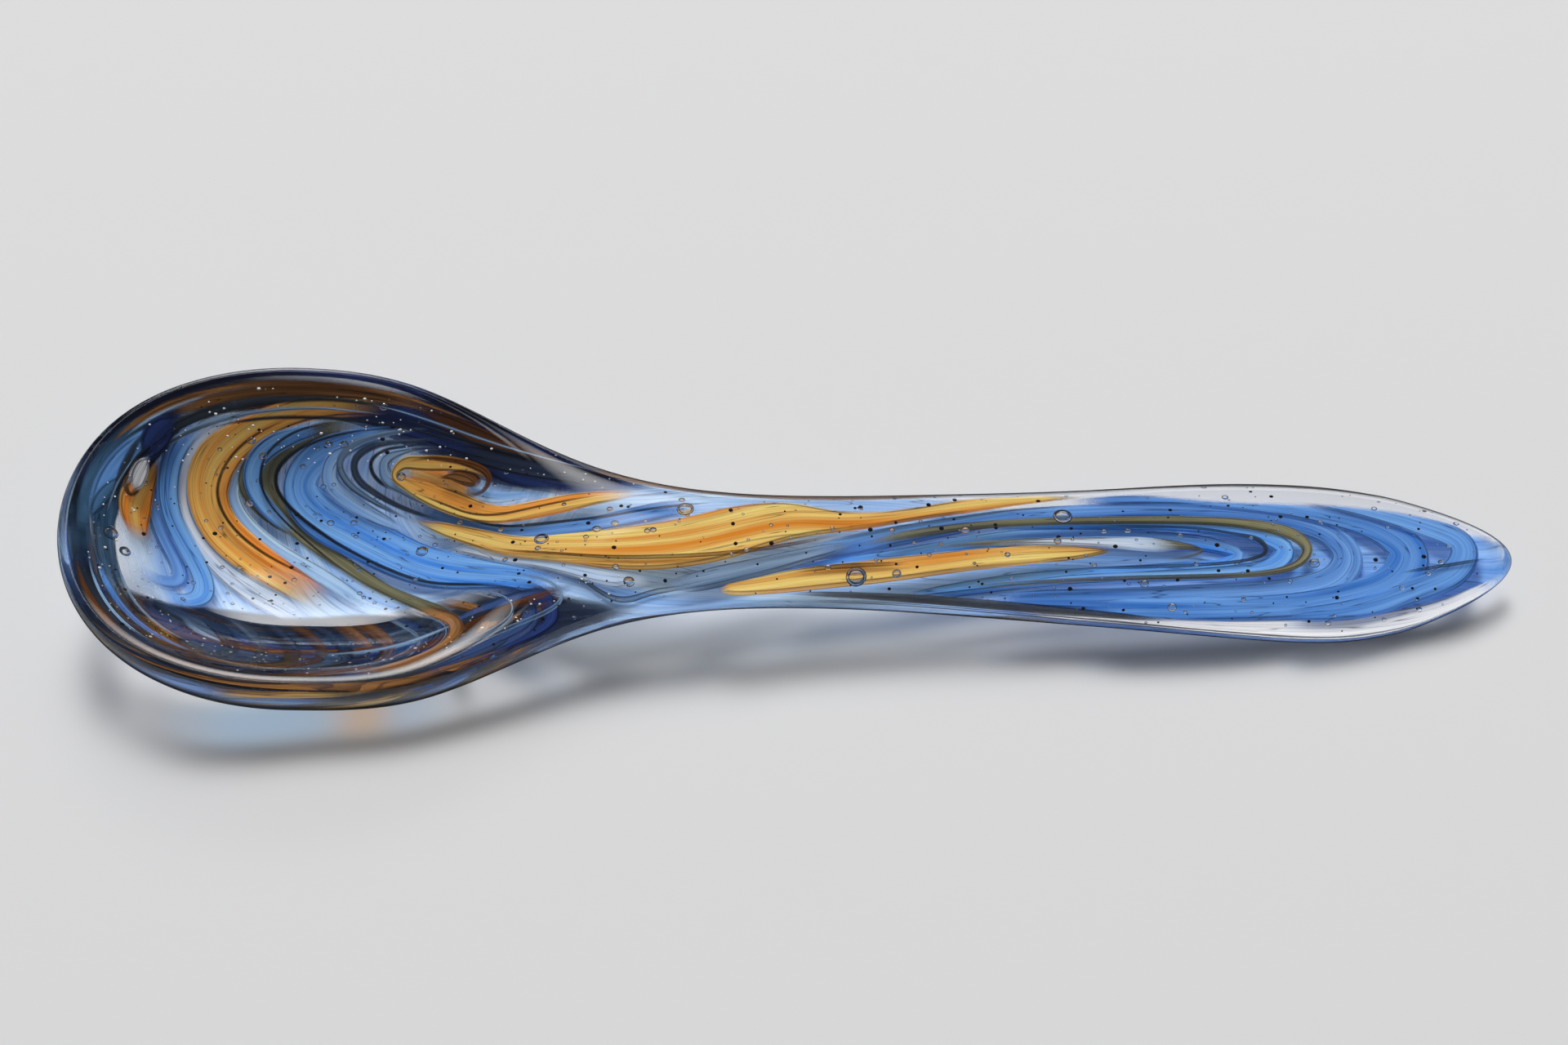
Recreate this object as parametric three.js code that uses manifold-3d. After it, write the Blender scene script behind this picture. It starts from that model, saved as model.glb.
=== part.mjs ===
// A serving spoon of cased art glass, lying on its bowl and on the end of its handle.
// Millimetres, +Z up, +X from the bowl to the tip of the handle, the table at z = 0.
// Clear glass in two casings, an upper and an under one, wraps a layer of coloured cane.

import * as THREE from 'three';
import Module from 'manifold-3d';

const wasm = await Module();
wasm.setup();

// Driving sizes
const LENGTH = 180;
const BOWL_WIDTH = 51.6;
const NECK_WIDTH = 15.2;
const BLADE_WIDTH = 24.3;
const WALL = 7;               // glass of the bowl, inside to outside
const NECK_THICKNESS = 12;
const BLADE_THICKNESS = 10;
const DISH_DEPTH = 14.2;      // middle of the glass, floor of the bowl to its rim
const NECK_HEIGHT = 10.6;     // middle of the glass over the table, at the neck
const SEAT = 0.35;            // ground away underneath, so that the spoon stands still
const CANE_THICKNESS = 0.4;
const FUSE_GAP = 0.3;         // parting between neighbouring pieces
const EDGE_LIP = 0.5;         // half the height of the edge that the seam runs round
const COVER = 0.6;            // least clear glass over the cane
const POCKET_INSET = 0.09;    // share of the toe's and tip's rounding that holds no cane
const CANE_LAYERS = 4;

// Mesh fineness
const CASING_ROWS = 56;
const CASING_COLUMNS = 12;
const END_CROWDING = 0.85;
const CANE_STEPS = 2;         // rows for each pair of knots
const WIDE_CANE = 1.5;        // half width from which a cane is two faces wide
const NORMAL_STEP = 0.02;
const SEAT_BLOCK = 400;

// Lengthwise places are given in stations, 180 to the length
const STATION = LENGTH / 180;
const TOE = 29 * STATION;     // toe to the widest, deepest place of the bowl
const TIP = 16 * STATION;     // rounding of the handle's tip
const TOE_POWER = 2.4;
const TIP_POWER = 1.95;
const DISH_POWER = 1.25;

// Bowl, neck and blade widths, in stations, of the drawing that gives the canes' places
const DRAWN_WIDTHS = [51.6, 15.2, 24.3];

// Natural cubic spline through [place, value] knots
function spline(knots) {
  const at = knots.map((knot) => knot[0]);
  const value = knots.map((knot) => knot[1]);
  const last = knots.length - 1;
  const carry = [0];
  const load = [0];
  for (let i = 1; i < last; i++) {
    const before = at[i] - at[i - 1];
    const after = at[i + 1] - at[i];
    const pivot = 2 * (before + after) - before * carry[i - 1];
    const turn = (value[i + 1] - value[i]) / after - (value[i] - value[i - 1]) / before;
    carry[i] = after / pivot;
    load[i] = (6 * turn - before * load[i - 1]) / pivot;
  }
  const bend = new Array(last + 1).fill(0);
  for (let i = last - 1; i > 0; i--) {
    bend[i] = load[i] - carry[i] * bend[i + 1];
  }
  return (place) => {
    let i = 0;
    while (i < last - 1 && place > at[i + 1]) {
      i++;
    }
    const span = at[i + 1] - at[i];
    const a = (at[i + 1] - place) / span;
    const b = 1 - a;
    const curve = ((a ** 3 - a) * bend[i] + (b ** 3 - b) * bend[i + 1]) * span ** 2 / 6;
    return a * value[i] + b * value[i + 1] + curve;
  };
}

// Knots in stations, mirrored about the first one so that the curve starts level there
function levelStart(knots) {
  const [start] = knots[0];
  const mirrored = knots.slice(1).map(([place, value]) => [2 * start - place, value]);
  return mirrored.reverse().concat(knots);
}

function alongLength(knots) {
  return spline(knots.map(([station, value]) => [station * STATION, value]));
}

// Half width in plan, before the ends are rounded
function outlineOf(bowl, neck, blade) {
  return alongLength([
    [0, 0.513 * bowl], [14, 0.496 * bowl], [29, 0.5 * bowl], [42, 0.465 * bowl],
    [54, 0.345 * bowl], [66, 0.227 * bowl], [78, 0.559 * neck], [92, 0.5 * neck],
    [110, 0.356 * blade], [130, 0.432 * blade], [150, 0.5 * blade], [160, 0.477 * blade],
    [170, 0.374 * blade], [180, 0.292 * blade],
  ]);
}
const outline = outlineOf(BOWL_WIDTH, NECK_WIDTH, BLADE_WIDTH);
const drawnOutline = outlineOf(...DRAWN_WIDTHS);

// Middle of the glass along the centre line
const FLOOR = WALL / 2 - SEAT;
const BLADE_HEIGHT = BLADE_THICKNESS / 2 - SEAT;
const NECK_RISE = NECK_HEIGHT - FLOOR;
const NECK_DROP = NECK_HEIGHT - BLADE_HEIGHT;
const keel = alongLength(levelStart([
  [29, FLOOR], [44, FLOOR + 0.15 * NECK_RISE], [58, FLOOR + 0.84 * NECK_RISE],
  [72, NECK_HEIGHT], [88, BLADE_HEIGHT + 0.85 * NECK_DROP],
  [104, BLADE_HEIGHT + 0.69 * NECK_DROP], [124, BLADE_HEIGHT + 0.44 * NECK_DROP],
  [144, BLADE_HEIGHT + 0.22 * NECK_DROP], [160, BLADE_HEIGHT], [180, BLADE_HEIGHT + 0.4],
]));

// Rise from the centre line to the rim
const dish = alongLength([
  [0, 1.14 * DISH_DEPTH], [29, DISH_DEPTH], [44, 0.78 * DISH_DEPTH], [58, 0.28 * DISH_DEPTH],
  [72, 0.06 * DISH_DEPTH], [88, 0], [104, 0], [180, 0],
]);

// Half thickness at the centre line, and how squarely it falls to the edge
const body = alongLength([
  [0, WALL / 2], [29, WALL / 2], [50, 0.6 * WALL], [66, 0.45 * NECK_THICKNESS],
  [80, NECK_THICKNESS / 2], [100, NECK_THICKNESS / 2], [130, 0.54 * BLADE_THICKNESS],
  [160, BLADE_THICKNESS / 2], [180, 0.4 * BLADE_THICKNESS],
]);
const squareness = alongLength([[0, 3], [29, 3], [50, 2.2], [70, 1.2], [90, 1], [180, 1]]);

function endFall(x) {
  const toe = Math.max((TOE - x) / TOE, 0);
  const tip = Math.max((x - LENGTH + TIP) / TIP, 0);
  return toe ** TOE_POWER + tip ** TIP_POWER;
}

// 0 on the centre line, 1 on the edge
function reach(x, y) {
  return endFall(x) + (y / outline(x)) ** 2;
}

function middle(x, y) {
  return keel(Math.max(x, TOE)) + dish(x) * reach(x, y) ** DISH_POWER;
}

function halfGlass(x, y) {
  return body(x) * Math.sqrt(Math.max(1 - reach(x, y) ** squareness(x), 0));
}

// The reach at which the half thickness has fallen to a given height
function reachAt(x, height) {
  return Math.max(1 - (height / body(x)) ** 2, 0) ** (1 / squareness(x));
}

// A point t above the middle of the glass, square to it
function place(x, y, t) {
  const slopeX = (middle(x + NORMAL_STEP, y) - middle(x - NORMAL_STEP, y)) / (2 * NORMAL_STEP);
  const slopeY = (middle(x, y + NORMAL_STEP) - middle(x, y - NORMAL_STEP)) / (2 * NORMAL_STEP);
  const normal = new THREE.Vector3(-slopeX, -slopeY, 1).normalize();
  return new THREE.Vector3(x, y, middle(x, y)).addScaledVector(normal, t);
}

// Two triangles of a face, or one where two corners are the same pole
function sew(faces, [a, b, c, d]) {
  if (a !== b && b !== c) {
    faces.push(a, b, c);
  }
  if (c !== d && d !== a) {
    faces.push(a, c, d);
  }
}

// The four corners of a face between two rows; a row of one place is a pole
function corners(here, next, j) {
  const pick = (row, k) => row[Math.min(k, row.length - 1)];
  return [pick(here, j), pick(next, j), pick(next, j + 1), pick(here, j + 1)];
}

// A closed slab over rows of [x, y] places, between two heights
function slab(rows, lower, upper) {
  const points = [];
  const faces = [];
  const sheet = (height) => rows.map((row) => row.map(([x, y]) => {
    points.push(...place(x, y, height(x, y)).toArray());
    return points.length / 3 - 1;
  }));
  const under = sheet(lower);
  const over = sheet(upper);
  for (let i = 0; i < rows.length - 1; i++) {
    const columns = Math.max(rows[i].length, rows[i + 1].length) - 1;
    for (let j = 0; j < columns; j++) {
      sew(faces, corners(over[i], over[i + 1], j));
      sew(faces, corners(under[i], under[i + 1], j).reverse());
    }
    sew(faces, [under[i][0], under[i + 1][0], over[i + 1][0], over[i][0]]);
    sew(faces, [over[i].at(-1), over[i + 1].at(-1), under[i + 1].at(-1), under[i].at(-1)]);
  }
  sewEnd(faces, under[0], over[0]);
  sewEnd(faces, over.at(-1), under.at(-1));
  return meshGeometry(points, faces);
}

// The end wall between the two sheets
function sewEnd(faces, first, second) {
  for (let j = 0; j < first.length - 1; j++) {
    sew(faces, [first[j], second[j], second[j + 1], first[j + 1]]);
  }
}

function meshGeometry(points, faces) {
  const geometry = new THREE.BufferGeometry();
  geometry.setAttribute('position', new THREE.Float32BufferAttribute(points, 3));
  geometry.setIndex(faces);
  return geometry;
}

function solid(geometry) {
  return new wasm.Manifold(new wasm.Mesh({
    numProp: 3,
    vertProperties: new Float32Array(geometry.attributes.position.array),
    triVerts: new Uint32Array(geometry.index.array),
  }));
}

// Everything under the table is taken away, which leaves the flats that the spoon rests on
function seated(geometry) {
  const square = [[-1, -1], [1, -1], [1, 1], [-1, 1]];
  const points = [-SEAT_BLOCK, 0].flatMap((z) =>
    square.flatMap(([x, y]) => [x * SEAT_BLOCK, y * SEAT_BLOCK, z]));
  const block = meshGeometry(points, [
    0, 2, 1, 0, 3, 2, 4, 5, 6, 4, 6, 7, 0, 1, 5, 0, 5, 4,
    1, 2, 6, 1, 6, 5, 2, 3, 7, 2, 7, 6, 3, 0, 4, 3, 4, 7,
  ]);
  const cut = solid(geometry).subtract(solid(block)).getMesh();
  return meshGeometry(Array.from(cut.vertProperties), Array.from(cut.triVerts));
}

// The pocket between the casings: deep where the cane lies, a seam round the edge
const LAYER_PITCH = CANE_THICKNESS + FUSE_GAP;
const POCKET = (CANE_LAYERS * LAYER_PITCH + FUSE_GAP) / 2;
const POCKET_GLASS = POCKET + COVER;

function halfPocket(x, y) {
  const fill = (halfGlass(x, y) - EDGE_LIP) / (POCKET_GLASS - EDGE_LIP);
  return THREE.MathUtils.lerp(FUSE_GAP / 2, POCKET, THREE.MathUtils.clamp(fill, 0, 1));
}

// Rows of places over the whole spoon, poles at toe and tip, closer together at the ends
function casingRows() {
  const toe = TOE * (1 - reachAt(0, EDGE_LIP) ** (1 / TOE_POWER));
  const tip = LENGTH - TIP * (1 - reachAt(LENGTH, EDGE_LIP) ** (1 / TIP_POWER));
  const rows = [[[toe, 0]]];
  for (let i = 1; i < CASING_ROWS; i++) {
    const share = i / CASING_ROWS;
    const crowded = share - END_CROWDING * Math.sin(2 * Math.PI * share) / (2 * Math.PI);
    const x = THREE.MathUtils.lerp(toe, tip, crowded);
    const edge = outline(x) * Math.sqrt(Math.max(reachAt(x, EDGE_LIP) - endFall(x), 0));
    const row = [];
    for (let j = 0; j <= CASING_COLUMNS; j++) {
      row.push([x, edge * Math.sin(Math.PI * (j / CASING_COLUMNS - 0.5))]);
    }
    rows.push(row);
  }
  rows.push([[tip, 0]]);
  return rows;
}

// Keeps a place over the pocket's full depth
function overPocket(x, y) {
  const kept = THREE.MathUtils.clamp(x, POCKET_INSET * TOE, LENGTH - POCKET_INSET * TIP);
  const room = Math.max(reachAt(kept, POCKET_GLASS) - endFall(kept), 0);
  const limit = outline(kept) * Math.sqrt(room);
  return [kept, THREE.MathUtils.clamp(y, -limit, limit)];
}

// Rows of places along a cane whose knots are [station, across, half width], all in stations
function caneRows(knots) {
  const drawn = knots.map(([station, across, half]) => {
    const x = station * STATION;
    const spread = outline(x) / drawnOutline(x);
    return [x, across * spread, half * spread];
  });
  const run = [0];
  for (let i = 1; i < drawn.length; i++) {
    run[i] = run[i - 1] + Math.hypot(drawn[i][0] - drawn[i - 1][0], drawn[i][1] - drawn[i - 1][1]);
  }
  const [alongX, alongY, halfWidth] = [0, 1, 2].map((axis) =>
    spline(drawn.map((knot, i) => [run[i], knot[axis]])));
  const faces = drawn.some((knot) => knot[2] >= WIDE_CANE) ? 2 : 1;
  const rows = [];
  for (let i = 0; i < drawn.length - 1; i++) {
    const steps = i === drawn.length - 2 ? CANE_STEPS + 1 : CANE_STEPS;
    for (let k = 0; k < steps; k++) {
      const s = THREE.MathUtils.lerp(run[i], run[i + 1], k / CANE_STEPS);
      const ahead = new THREE.Vector2(
        alongX(s + NORMAL_STEP) - alongX(s - NORMAL_STEP),
        alongY(s + NORMAL_STEP) - alongY(s - NORMAL_STEP),
      ).normalize();
      const row = [];
      for (let j = 0; j <= faces; j++) {
        const side = halfWidth(s) * (2 * j / faces - 1);
        row.push(overPocket(alongX(s) - side * ahead.y, alongY(s) + side * ahead.x));
      }
      rows.push(row);
    }
  }
  return rows;
}

// Glass colours
const GLASS = {
  clear: 0xe8eef2, amber: 0xde9e3e, rust: 0xb0601c, umber: 0x60340e, olive: 0x7e7446,
  ink: 0x262e38, steel: 0x688096, slate: 0x546470, navy: 0x141e54, deep: 0x2860be,
  blue: 0x5490dc, sky: 0x96bce2, pale: 0xc0d0e4,
};
const GLASS_ROUGHNESS = 0.04;
const CLEAR_OPACITY = 0.35;

const spoon = new THREE.Group();

function addPiece(name, colour, geometry) {
  const opacity = colour === 'clear' ? CLEAR_OPACITY : 1;
  const material = new THREE.MeshStandardMaterial({
    color: GLASS[colour], roughness: GLASS_ROUGHNESS, metalness: 0, opacity, transparent: opacity < 1,
  });
  const mesh = new THREE.Mesh(geometry, material);
  mesh.name = name;
  spoon.add(mesh);
}

// A cane in one of the layers, counted from the lowest
function addCane(name, colour, layer, knots) {
  const level = (layer - (CANE_LAYERS + 1) / 2) * LAYER_PITCH;
  const bottom = () => level - CANE_THICKNESS / 2;
  const top = () => level + CANE_THICKNESS / 2;
  addPiece(name, colour, slab(caneRows(knots), bottom, top));
}

// Clear casings
const rows = casingRows();
addPiece('upper_casing', 'clear', slab(rows, halfPocket, halfGlass));
addPiece('under_casing', 'clear', seated(slab(
  rows,
  (x, y) => -halfGlass(x, y),
  (x, y) => -halfPocket(x, y),
)));

// Bowl, from the toe inwards
addCane('toe_slate', 'slate', 2, [
  [6.2, 13.4, 0.25], [5.1, 10.8, 0.5], [4.1, 7, 0.7], [3.7, 2.5, 0.75], [4.2, -2, 0.75],
  [5.5, -6, 0.65], [7.6, -9.4, 0.35],
]);
addCane('toe_navy', 'navy', 4, [
  [13, 20, 0.3], [11.4, 18.7, 0.55], [9.8, 16.9, 0.72], [8.4, 14.9, 0.68], [7.3, 13.1, 0.52],
  [6.5, 11.6, 0.25],
]);
addCane('toe_loop', 'rust', 3, [
  [8.9, 16.8, 0.13], [7.5, 14.9, 0.18], [6.5, 12.9, 0.2], [5.9, 10.9, 0.22], [5.7, 9.3, 0.22],
  [6.1, 8.7, 0.22], [6.7, 9.3, 0.22], [7.4, 11, 0.2], [8.4, 13.2, 0.18], [9.6, 15.6, 0.16],
  [11.2, 18, 0.13],
]);
addCane('toe_amber', 'amber', 2, [
  [9.6, 15.4, 0.3], [8.6, 12.8, 0.55], [7.7, 10.4, 0.9], [7, 8.2, 1.3], [6.8, 6.2, 1.2],
  [7.1, 4.6, 0.9], [7.5, 3.2, 0.5],
]);
addCane('toe_blue', 'deep', 1, [
  [11.2, 17, 0.3], [9.6, 14, 0.45], [9, 11.6, 0.5], [9.1, 9.2, 0.55], [9.8, 6.8, 0.75],
  [10.8, 4.8, 0.85], [11.7, 3, 0.75], [12.3, 1.3, 0.6], [12.2, -0.2, 0.55], [11, -1.3, 0.6],
  [9.2, -1.4, 0.6], [7.6, -0.5, 0.4],
]);
addCane('blue_return', 'blue', 3, [
  [16, 20.3, 0.4], [13, 18, 0.6], [11.3, 15.5, 0.75], [10.6, 13, 0.85], [10.5, 10.4, 0.95],
  [11.1, 8, 1.05], [12.3, 5.8, 1.1], [13.6, 3.6, 1.1], [14.7, 1.4, 1.1], [15.3, -0.8, 1.1],
  [15.1, -2.8, 1.1], [13.7, -4.3, 1], [11.6, -4.9, 0.9], [9.4, -4.5, 0.5],
]);
addCane('pale_band', 'pale', 1, [
  [20, 21.6, 0.35], [16, 19.5, 0.55], [13.6, 17, 0.6], [12.5, 14.5, 0.55], [12.2, 12, 0.55],
  [12.6, 9.7, 0.65], [13.6, 7.6, 0.75], [15.4, 5.3, 0.85], [17.7, 3, 1], [20.3, 0.8, 1.2],
  [23, -1.3, 1.3], [26, -3.6, 1.3], [29, -6.2, 1],
]);
addCane('amber_crescent', 'amber', 2, [
  [40, 22.2, 0.25], [35, 22.7, 0.5], [29.5, 22.6, 0.65], [25.5, 21.8, 0.75], [22, 20.5, 0.95],
  [18.8, 18.5, 1.4], [16.4, 16, 1.95], [15.5, 13.3, 2.15], [15.9, 11, 2.2], [17.2, 8.8, 2.25],
  [19.4, 6.7, 2.25], [22.2, 4.5, 2.1], [25.2, 2.2, 1.9], [28.4, -0.4, 1.7], [31.6, -3.3, 1.3],
]);
addCane('crescent_line', 'umber', 4, [
  [27, 22, 0.12], [22, 20.1, 0.14], [18.6, 17.6, 0.16], [16.9, 15, 0.18], [16.5, 12.8, 0.2],
  [17.2, 10.8, 0.2], [18.8, 8.7, 0.2], [21.4, 6.4, 0.2], [24.3, 4.3, 0.18], [27.6, 2.1, 0.15],
  [30.4, -0.1, 0.1],
]);
addCane('sky_band', 'sky', 1, [
  [26, 20.6, 0.35], [21.9, 18.4, 0.55], [19.6, 16, 0.6], [18.7, 13.9, 0.55], [19.1, 12.1, 0.55],
  [20.4, 10.2, 0.6], [22.4, 8.2, 0.7], [25, 6.1, 0.75], [28, 3.9, 0.8], [31.2, 1.4, 0.85],
  [34.4, -1.5, 0.75], [37.2, -4.4, 0.5],
]);
addCane('olive_thread', 'olive', 2, [
  [24.2, 20, 0.12], [21.5, 18.3, 0.2], [19.9, 16.2, 0.28], [19.8, 14.4, 0.32], [21, 12.7, 0.34],
  [23, 11, 0.34], [25.2, 9.5, 0.3], [27.4, 8.1, 0.2],
]);
addCane('blue_inset', 'blue', 3, [
  [31, 20.9, 0.3], [26.8, 20.1, 0.45], [23.4, 18.8, 0.65], [21.5, 17, 0.75], [21.1, 15.2, 0.75],
  [21.9, 13.4, 0.72], [23.4, 11.7, 0.65], [25.3, 10, 0.45], [27, 8.6, 0.2],
]);
addCane('olive_sweep', 'olive', 1, [
  [36, 21.2, 0.25], [31, 20.7, 0.4], [27.6, 19.8, 0.5], [25, 18.4, 0.65], [23.4, 16.8, 0.75],
  [23.1, 15.2, 0.78], [23.7, 13.5, 0.8], [25.1, 11.7, 0.85], [27, 9.8, 0.85], [29.1, 7.8, 0.8],
  [31.3, 5.8, 0.7], [33.8, 3.7, 0.6], [36.4, 1.5, 0.55], [39, -0.6, 0.5], [41.5, -2.5, 0.55],
  [44, -4.6, 0.6], [46, -6.7, 0.65], [47.6, -9.3, 0.6], [48.6, -12.4, 0.4],
]);
addCane('sweep_line_a', 'ink', 4, [
  [33, 21.5, 0.1], [27.2, 20.6, 0.14], [24.1, 19.1, 0.16], [22.4, 17.1, 0.17], [22.2, 15.2, 0.17],
  [22.8, 13.4, 0.17], [24.3, 11.4, 0.17], [26.3, 9.3, 0.17], [28.3, 7.3, 0.16], [30.4, 5.1, 0.15],
  [32.7, 2.9, 0.14], [35.2, 0.6, 0.1],
]);
addCane('sweep_line_b', 'ink', 3, [
  [38, 20.7, 0.1], [32, 20.2, 0.14], [28.2, 19.2, 0.17], [25.3, 17.7, 0.2], [24.2, 16.1, 0.22],
  [24.2, 14.8, 0.22], [25.2, 13.1, 0.22], [27.1, 11.2, 0.22], [29.2, 9.4, 0.22], [31.4, 7.6, 0.21],
  [34, 5.7, 0.2], [36.8, 3.8, 0.2], [39.6, 2, 0.2], [42.6, 0.2, 0.2], [46, -1.6, 0.2],
  [49.6, -3.3, 0.2], [53, -5.1, 0.17], [56.4, -7.4, 0.1],
]);
addCane('blue_field', 'blue', 2, [
  [41, 20.4, 0.25], [36, 19.9, 0.5], [31.6, 18.9, 0.95], [28.5, 17.2, 1.5], [27.3, 14.8, 1.9],
  [28.7, 12.3, 2.4], [32.1, 9.8, 2.8], [36, 7.4, 2.9], [39.5, 5, 2.8], [43, 2.7, 2.65],
  [46.8, 0.4, 2.45], [50.6, -1.8, 2.15], [54.4, -3.9, 1.75], [58, -5.7, 1.3], [61.2, -7, 0.8],
]);
addCane('field_light', 'sky', 3, [
  [36.4, 19.4, 0.2], [33.2, 18.6, 0.4], [31.3, 17.2, 0.65], [31.1, 15.5, 0.75], [32.8, 13.5, 0.75],
  [35.5, 11.6, 0.7], [38.6, 9.7, 0.5], [41.4, 8, 0.25],
]);
addCane('arc_outer', 'steel', 4, [
  [45, 19.8, 0.12], [40, 20.2, 0.2], [36, 19.8, 0.26], [33.4, 18.8, 0.3], [32.4, 17.3, 0.32],
  [33.1, 15.5, 0.32], [35, 13.8, 0.3], [37.6, 12.1, 0.26], [40.4, 10.4, 0.2], [43, 8.8, 0.12],
]);
addCane('arc_mid', 'ink', 4, [
  [47, 18.4, 0.12], [42.5, 19, 0.18], [38.8, 19.2, 0.24], [35.8, 18.7, 0.3], [34.3, 17.4, 0.32],
  [34.5, 15.9, 0.32], [36.2, 14.2, 0.3], [38.8, 12.5, 0.27], [41.6, 10.9, 0.24], [44.6, 9.3, 0.2],
  [47.6, 7.6, 0.12],
]);
addCane('arc_inner', 'ink', 1, [
  [44, 18.2, 0.1], [40.2, 18.6, 0.14], [37.5, 18.3, 0.18], [36.3, 17.3, 0.22], [36.6, 16.1, 0.22],
  [38.2, 14.7, 0.2], [40.2, 13.5, 0.12],
]);
addCane('hook_halo', 'sky', 2, [
  [46, 17.5, 0.15], [42.6, 18.1, 0.22], [39.8, 18, 0.3], [38.1, 17.2, 0.42], [38.2, 16.1, 0.5],
  [39.9, 14.7, 0.55], [42.4, 13.1, 0.5], [45.2, 11.4, 0.42], [48.2, 9.3, 0.34], [51, 7.2, 0.28],
  [53.8, 5.2, 0.2],
]);
addCane('deep_band', 'deep', 1, [
  [41.2, 12, 0.3], [43.4, 10.6, 0.75], [46, 9, 1.05], [48.9, 7.2, 1.1], [51.8, 5.3, 1],
  [54.8, 3.7, 0.9], [58.2, 2.9, 0.85], [62, 2.7, 0.85], [66, 3.1, 0.85], [70, 3.9, 0.8],
  [74, 4.6, 0.65], [78, 4.9, 0.35],
]);
addCane('deep_line', 'ink', 4, [
  [47, 9.2, 0.1], [50.4, 7, 0.15], [53.8, 4.8, 0.17], [57.6, 3.6, 0.17], [62, 3.1, 0.17],
  [66.4, 3.2, 0.16], [71, 3.9, 0.14], [76, 4.4, 0.12], [81, 4.6, 0.08],
]);
addCane('amber_hook', 'amber', 3, [
  [51.9, 11.6, 0.25], [51.5, 12.9, 0.4], [49.9, 14.2, 0.55], [47.6, 15.3, 0.65], [45, 16.1, 0.75],
  [42.3, 16.7, 0.7], [40.2, 16.6, 0.54], [39.5, 15.7, 0.42], [40.5, 14.8, 0.56], [42.5, 13.7, 0.9],
  [44.8, 12.4, 1.2], [47.2, 10.9, 1.35], [49.6, 9.2, 1.3], [52, 7.6, 1.2], [54.6, 6.5, 1.2],
  [57.6, 6.1, 1.3], [61, 6.1, 1.25], [64.4, 6.3, 0.95], [67.8, 6.4, 0.6], [71, 6.4, 0.3],
]);
addCane('eye_umber', 'umber', 4, [
  [46.6, 14.6, 0.15], [47.9, 14, 0.4], [49.4, 13.2, 0.5], [50.7, 12.2, 0.4], [51.2, 11.4, 0.15],
]);
addCane('eye_blue', 'sky', 2, [
  [48.6, 12.9, 0.2], [49.6, 11.7, 0.35], [51.2, 10.5, 0.42], [53.2, 9.5, 0.42], [55.6, 8.9, 0.38],
  [58.2, 8.6, 0.25],
]);
addCane('wall_navy', 'navy', 1, [
  [40, 21.4, 0.3], [44, 20.2, 0.65], [47.2, 18.6, 0.95], [50, 16.7, 1.15], [52.6, 14.6, 1.25],
  [55.2, 12.4, 1.15], [58, 10.7, 0.85], [61, 9.6, 0.4],
]);

// Near wall of the bowl
addCane('near_blue', 'deep', 4, [
  [8, -8.4, 0.6], [12, -12.2, 1.1], [18, -15.6, 1.4], [25, -17.5, 1.5], [32, -18, 1.5],
  [39, -17.2, 1.4], [45, -14.8, 1.2], [50.5, -11.6, 1], [56, -9.4, 0.7], [61, -8.7, 0.4],
]);
addCane('near_amber', 'rust', 2, [
  [9, -13, 0.4], [14, -17.4, 0.7], [20.5, -20.3, 0.9], [27, -21.6, 1], [33.5, -21.6, 1],
  [40, -20.2, 0.9], [45.6, -17.4, 0.7], [50, -14.2, 0.4],
]);
addCane('near_slate', 'slate', 3, [
  [12, -7.6, 0.4], [17, -10.6, 0.8], [23, -12.6, 1.1], [29.5, -13.6, 1.2], [36, -13.2, 1.1],
  [41.5, -11.4, 0.8], [45.5, -9, 0.4],
]);

// Neck
addCane('amber_neck', 'amber', 3, [
  [41.2, 10.2, 0.15], [43.6, 8.9, 0.3], [46.2, 7.4, 0.5], [48.8, 5.7, 0.7], [51.4, 3.9, 0.9],
  [54, 2, 1.05], [57, 0.3, 1.3], [60.6, -0.8, 1.8], [64.6, -1.3, 2.2], [69, -1.1, 2.45],
  [73.4, -0.5, 2.5], [77.6, 0.4, 2.5], [81.6, 1.4, 2.4], [85.6, 2.3, 2], [89.6, 2.8, 1.5],
  [93.6, 2.8, 0.9], [97.8, 2.9, 0.55], [102, 3.4, 0.45], [106.4, 4.2, 0.45], [111, 5.1, 0.5],
  [116, 6, 0.42], [121.4, 6.8, 0.3], [127, 7.4, 0.15],
]);
addCane('neck_line', 'umber', 4, [
  [52, 2.3, 0.1], [55, 0.3, 0.13], [58.2, -1.2, 0.15], [61.6, -2.3, 0.17], [65, -2.9, 0.18],
  [69, -2.9, 0.18], [73.4, -2.5, 0.17], [77.8, -2, 0.16], [82.2, -1.4, 0.15], [86.6, -0.7, 0.14],
  [91, 0.1, 0.12], [95.6, 1, 0.1],
]);
addCane('neck_pale', 'pale', 2, [
  [46.6, 4.9, 0.35], [50, 3, 0.5], [53, 0.9, 0.5], [56, -1.2, 0.5], [59.4, -2.9, 0.55],
  [63, -4.2, 0.65], [66.4, -4.8, 0.65], [69.6, -4.7, 0.55], [72.4, -4.3, 0.3],
]);
addCane('neck_v_line', 'ink', 1, [
  [47, 3.6, 0.08], [50.6, 2.4, 0.12], [53.6, 0.4, 0.14], [56.6, -1.6, 0.16], [60, -3.4, 0.17],
  [63.2, -5, 0.18], [66, -6.5, 0.18], [68.2, -6.7, 0.17], [71, -5.7, 0.15], [75, -4.6, 0.12],
  [79, -3.6, 0.1],
]);
addCane('neck_slate', 'slate', 2, [
  [72.6, -5.9, 0.3], [75.4, -5, 0.65], [78.4, -4.1, 0.82], [82, -3, 0.75], [86, -1.9, 0.62],
  [90, -0.9, 0.5], [94, 0, 0.4], [98, 0.8, 0.25],
]);

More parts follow.
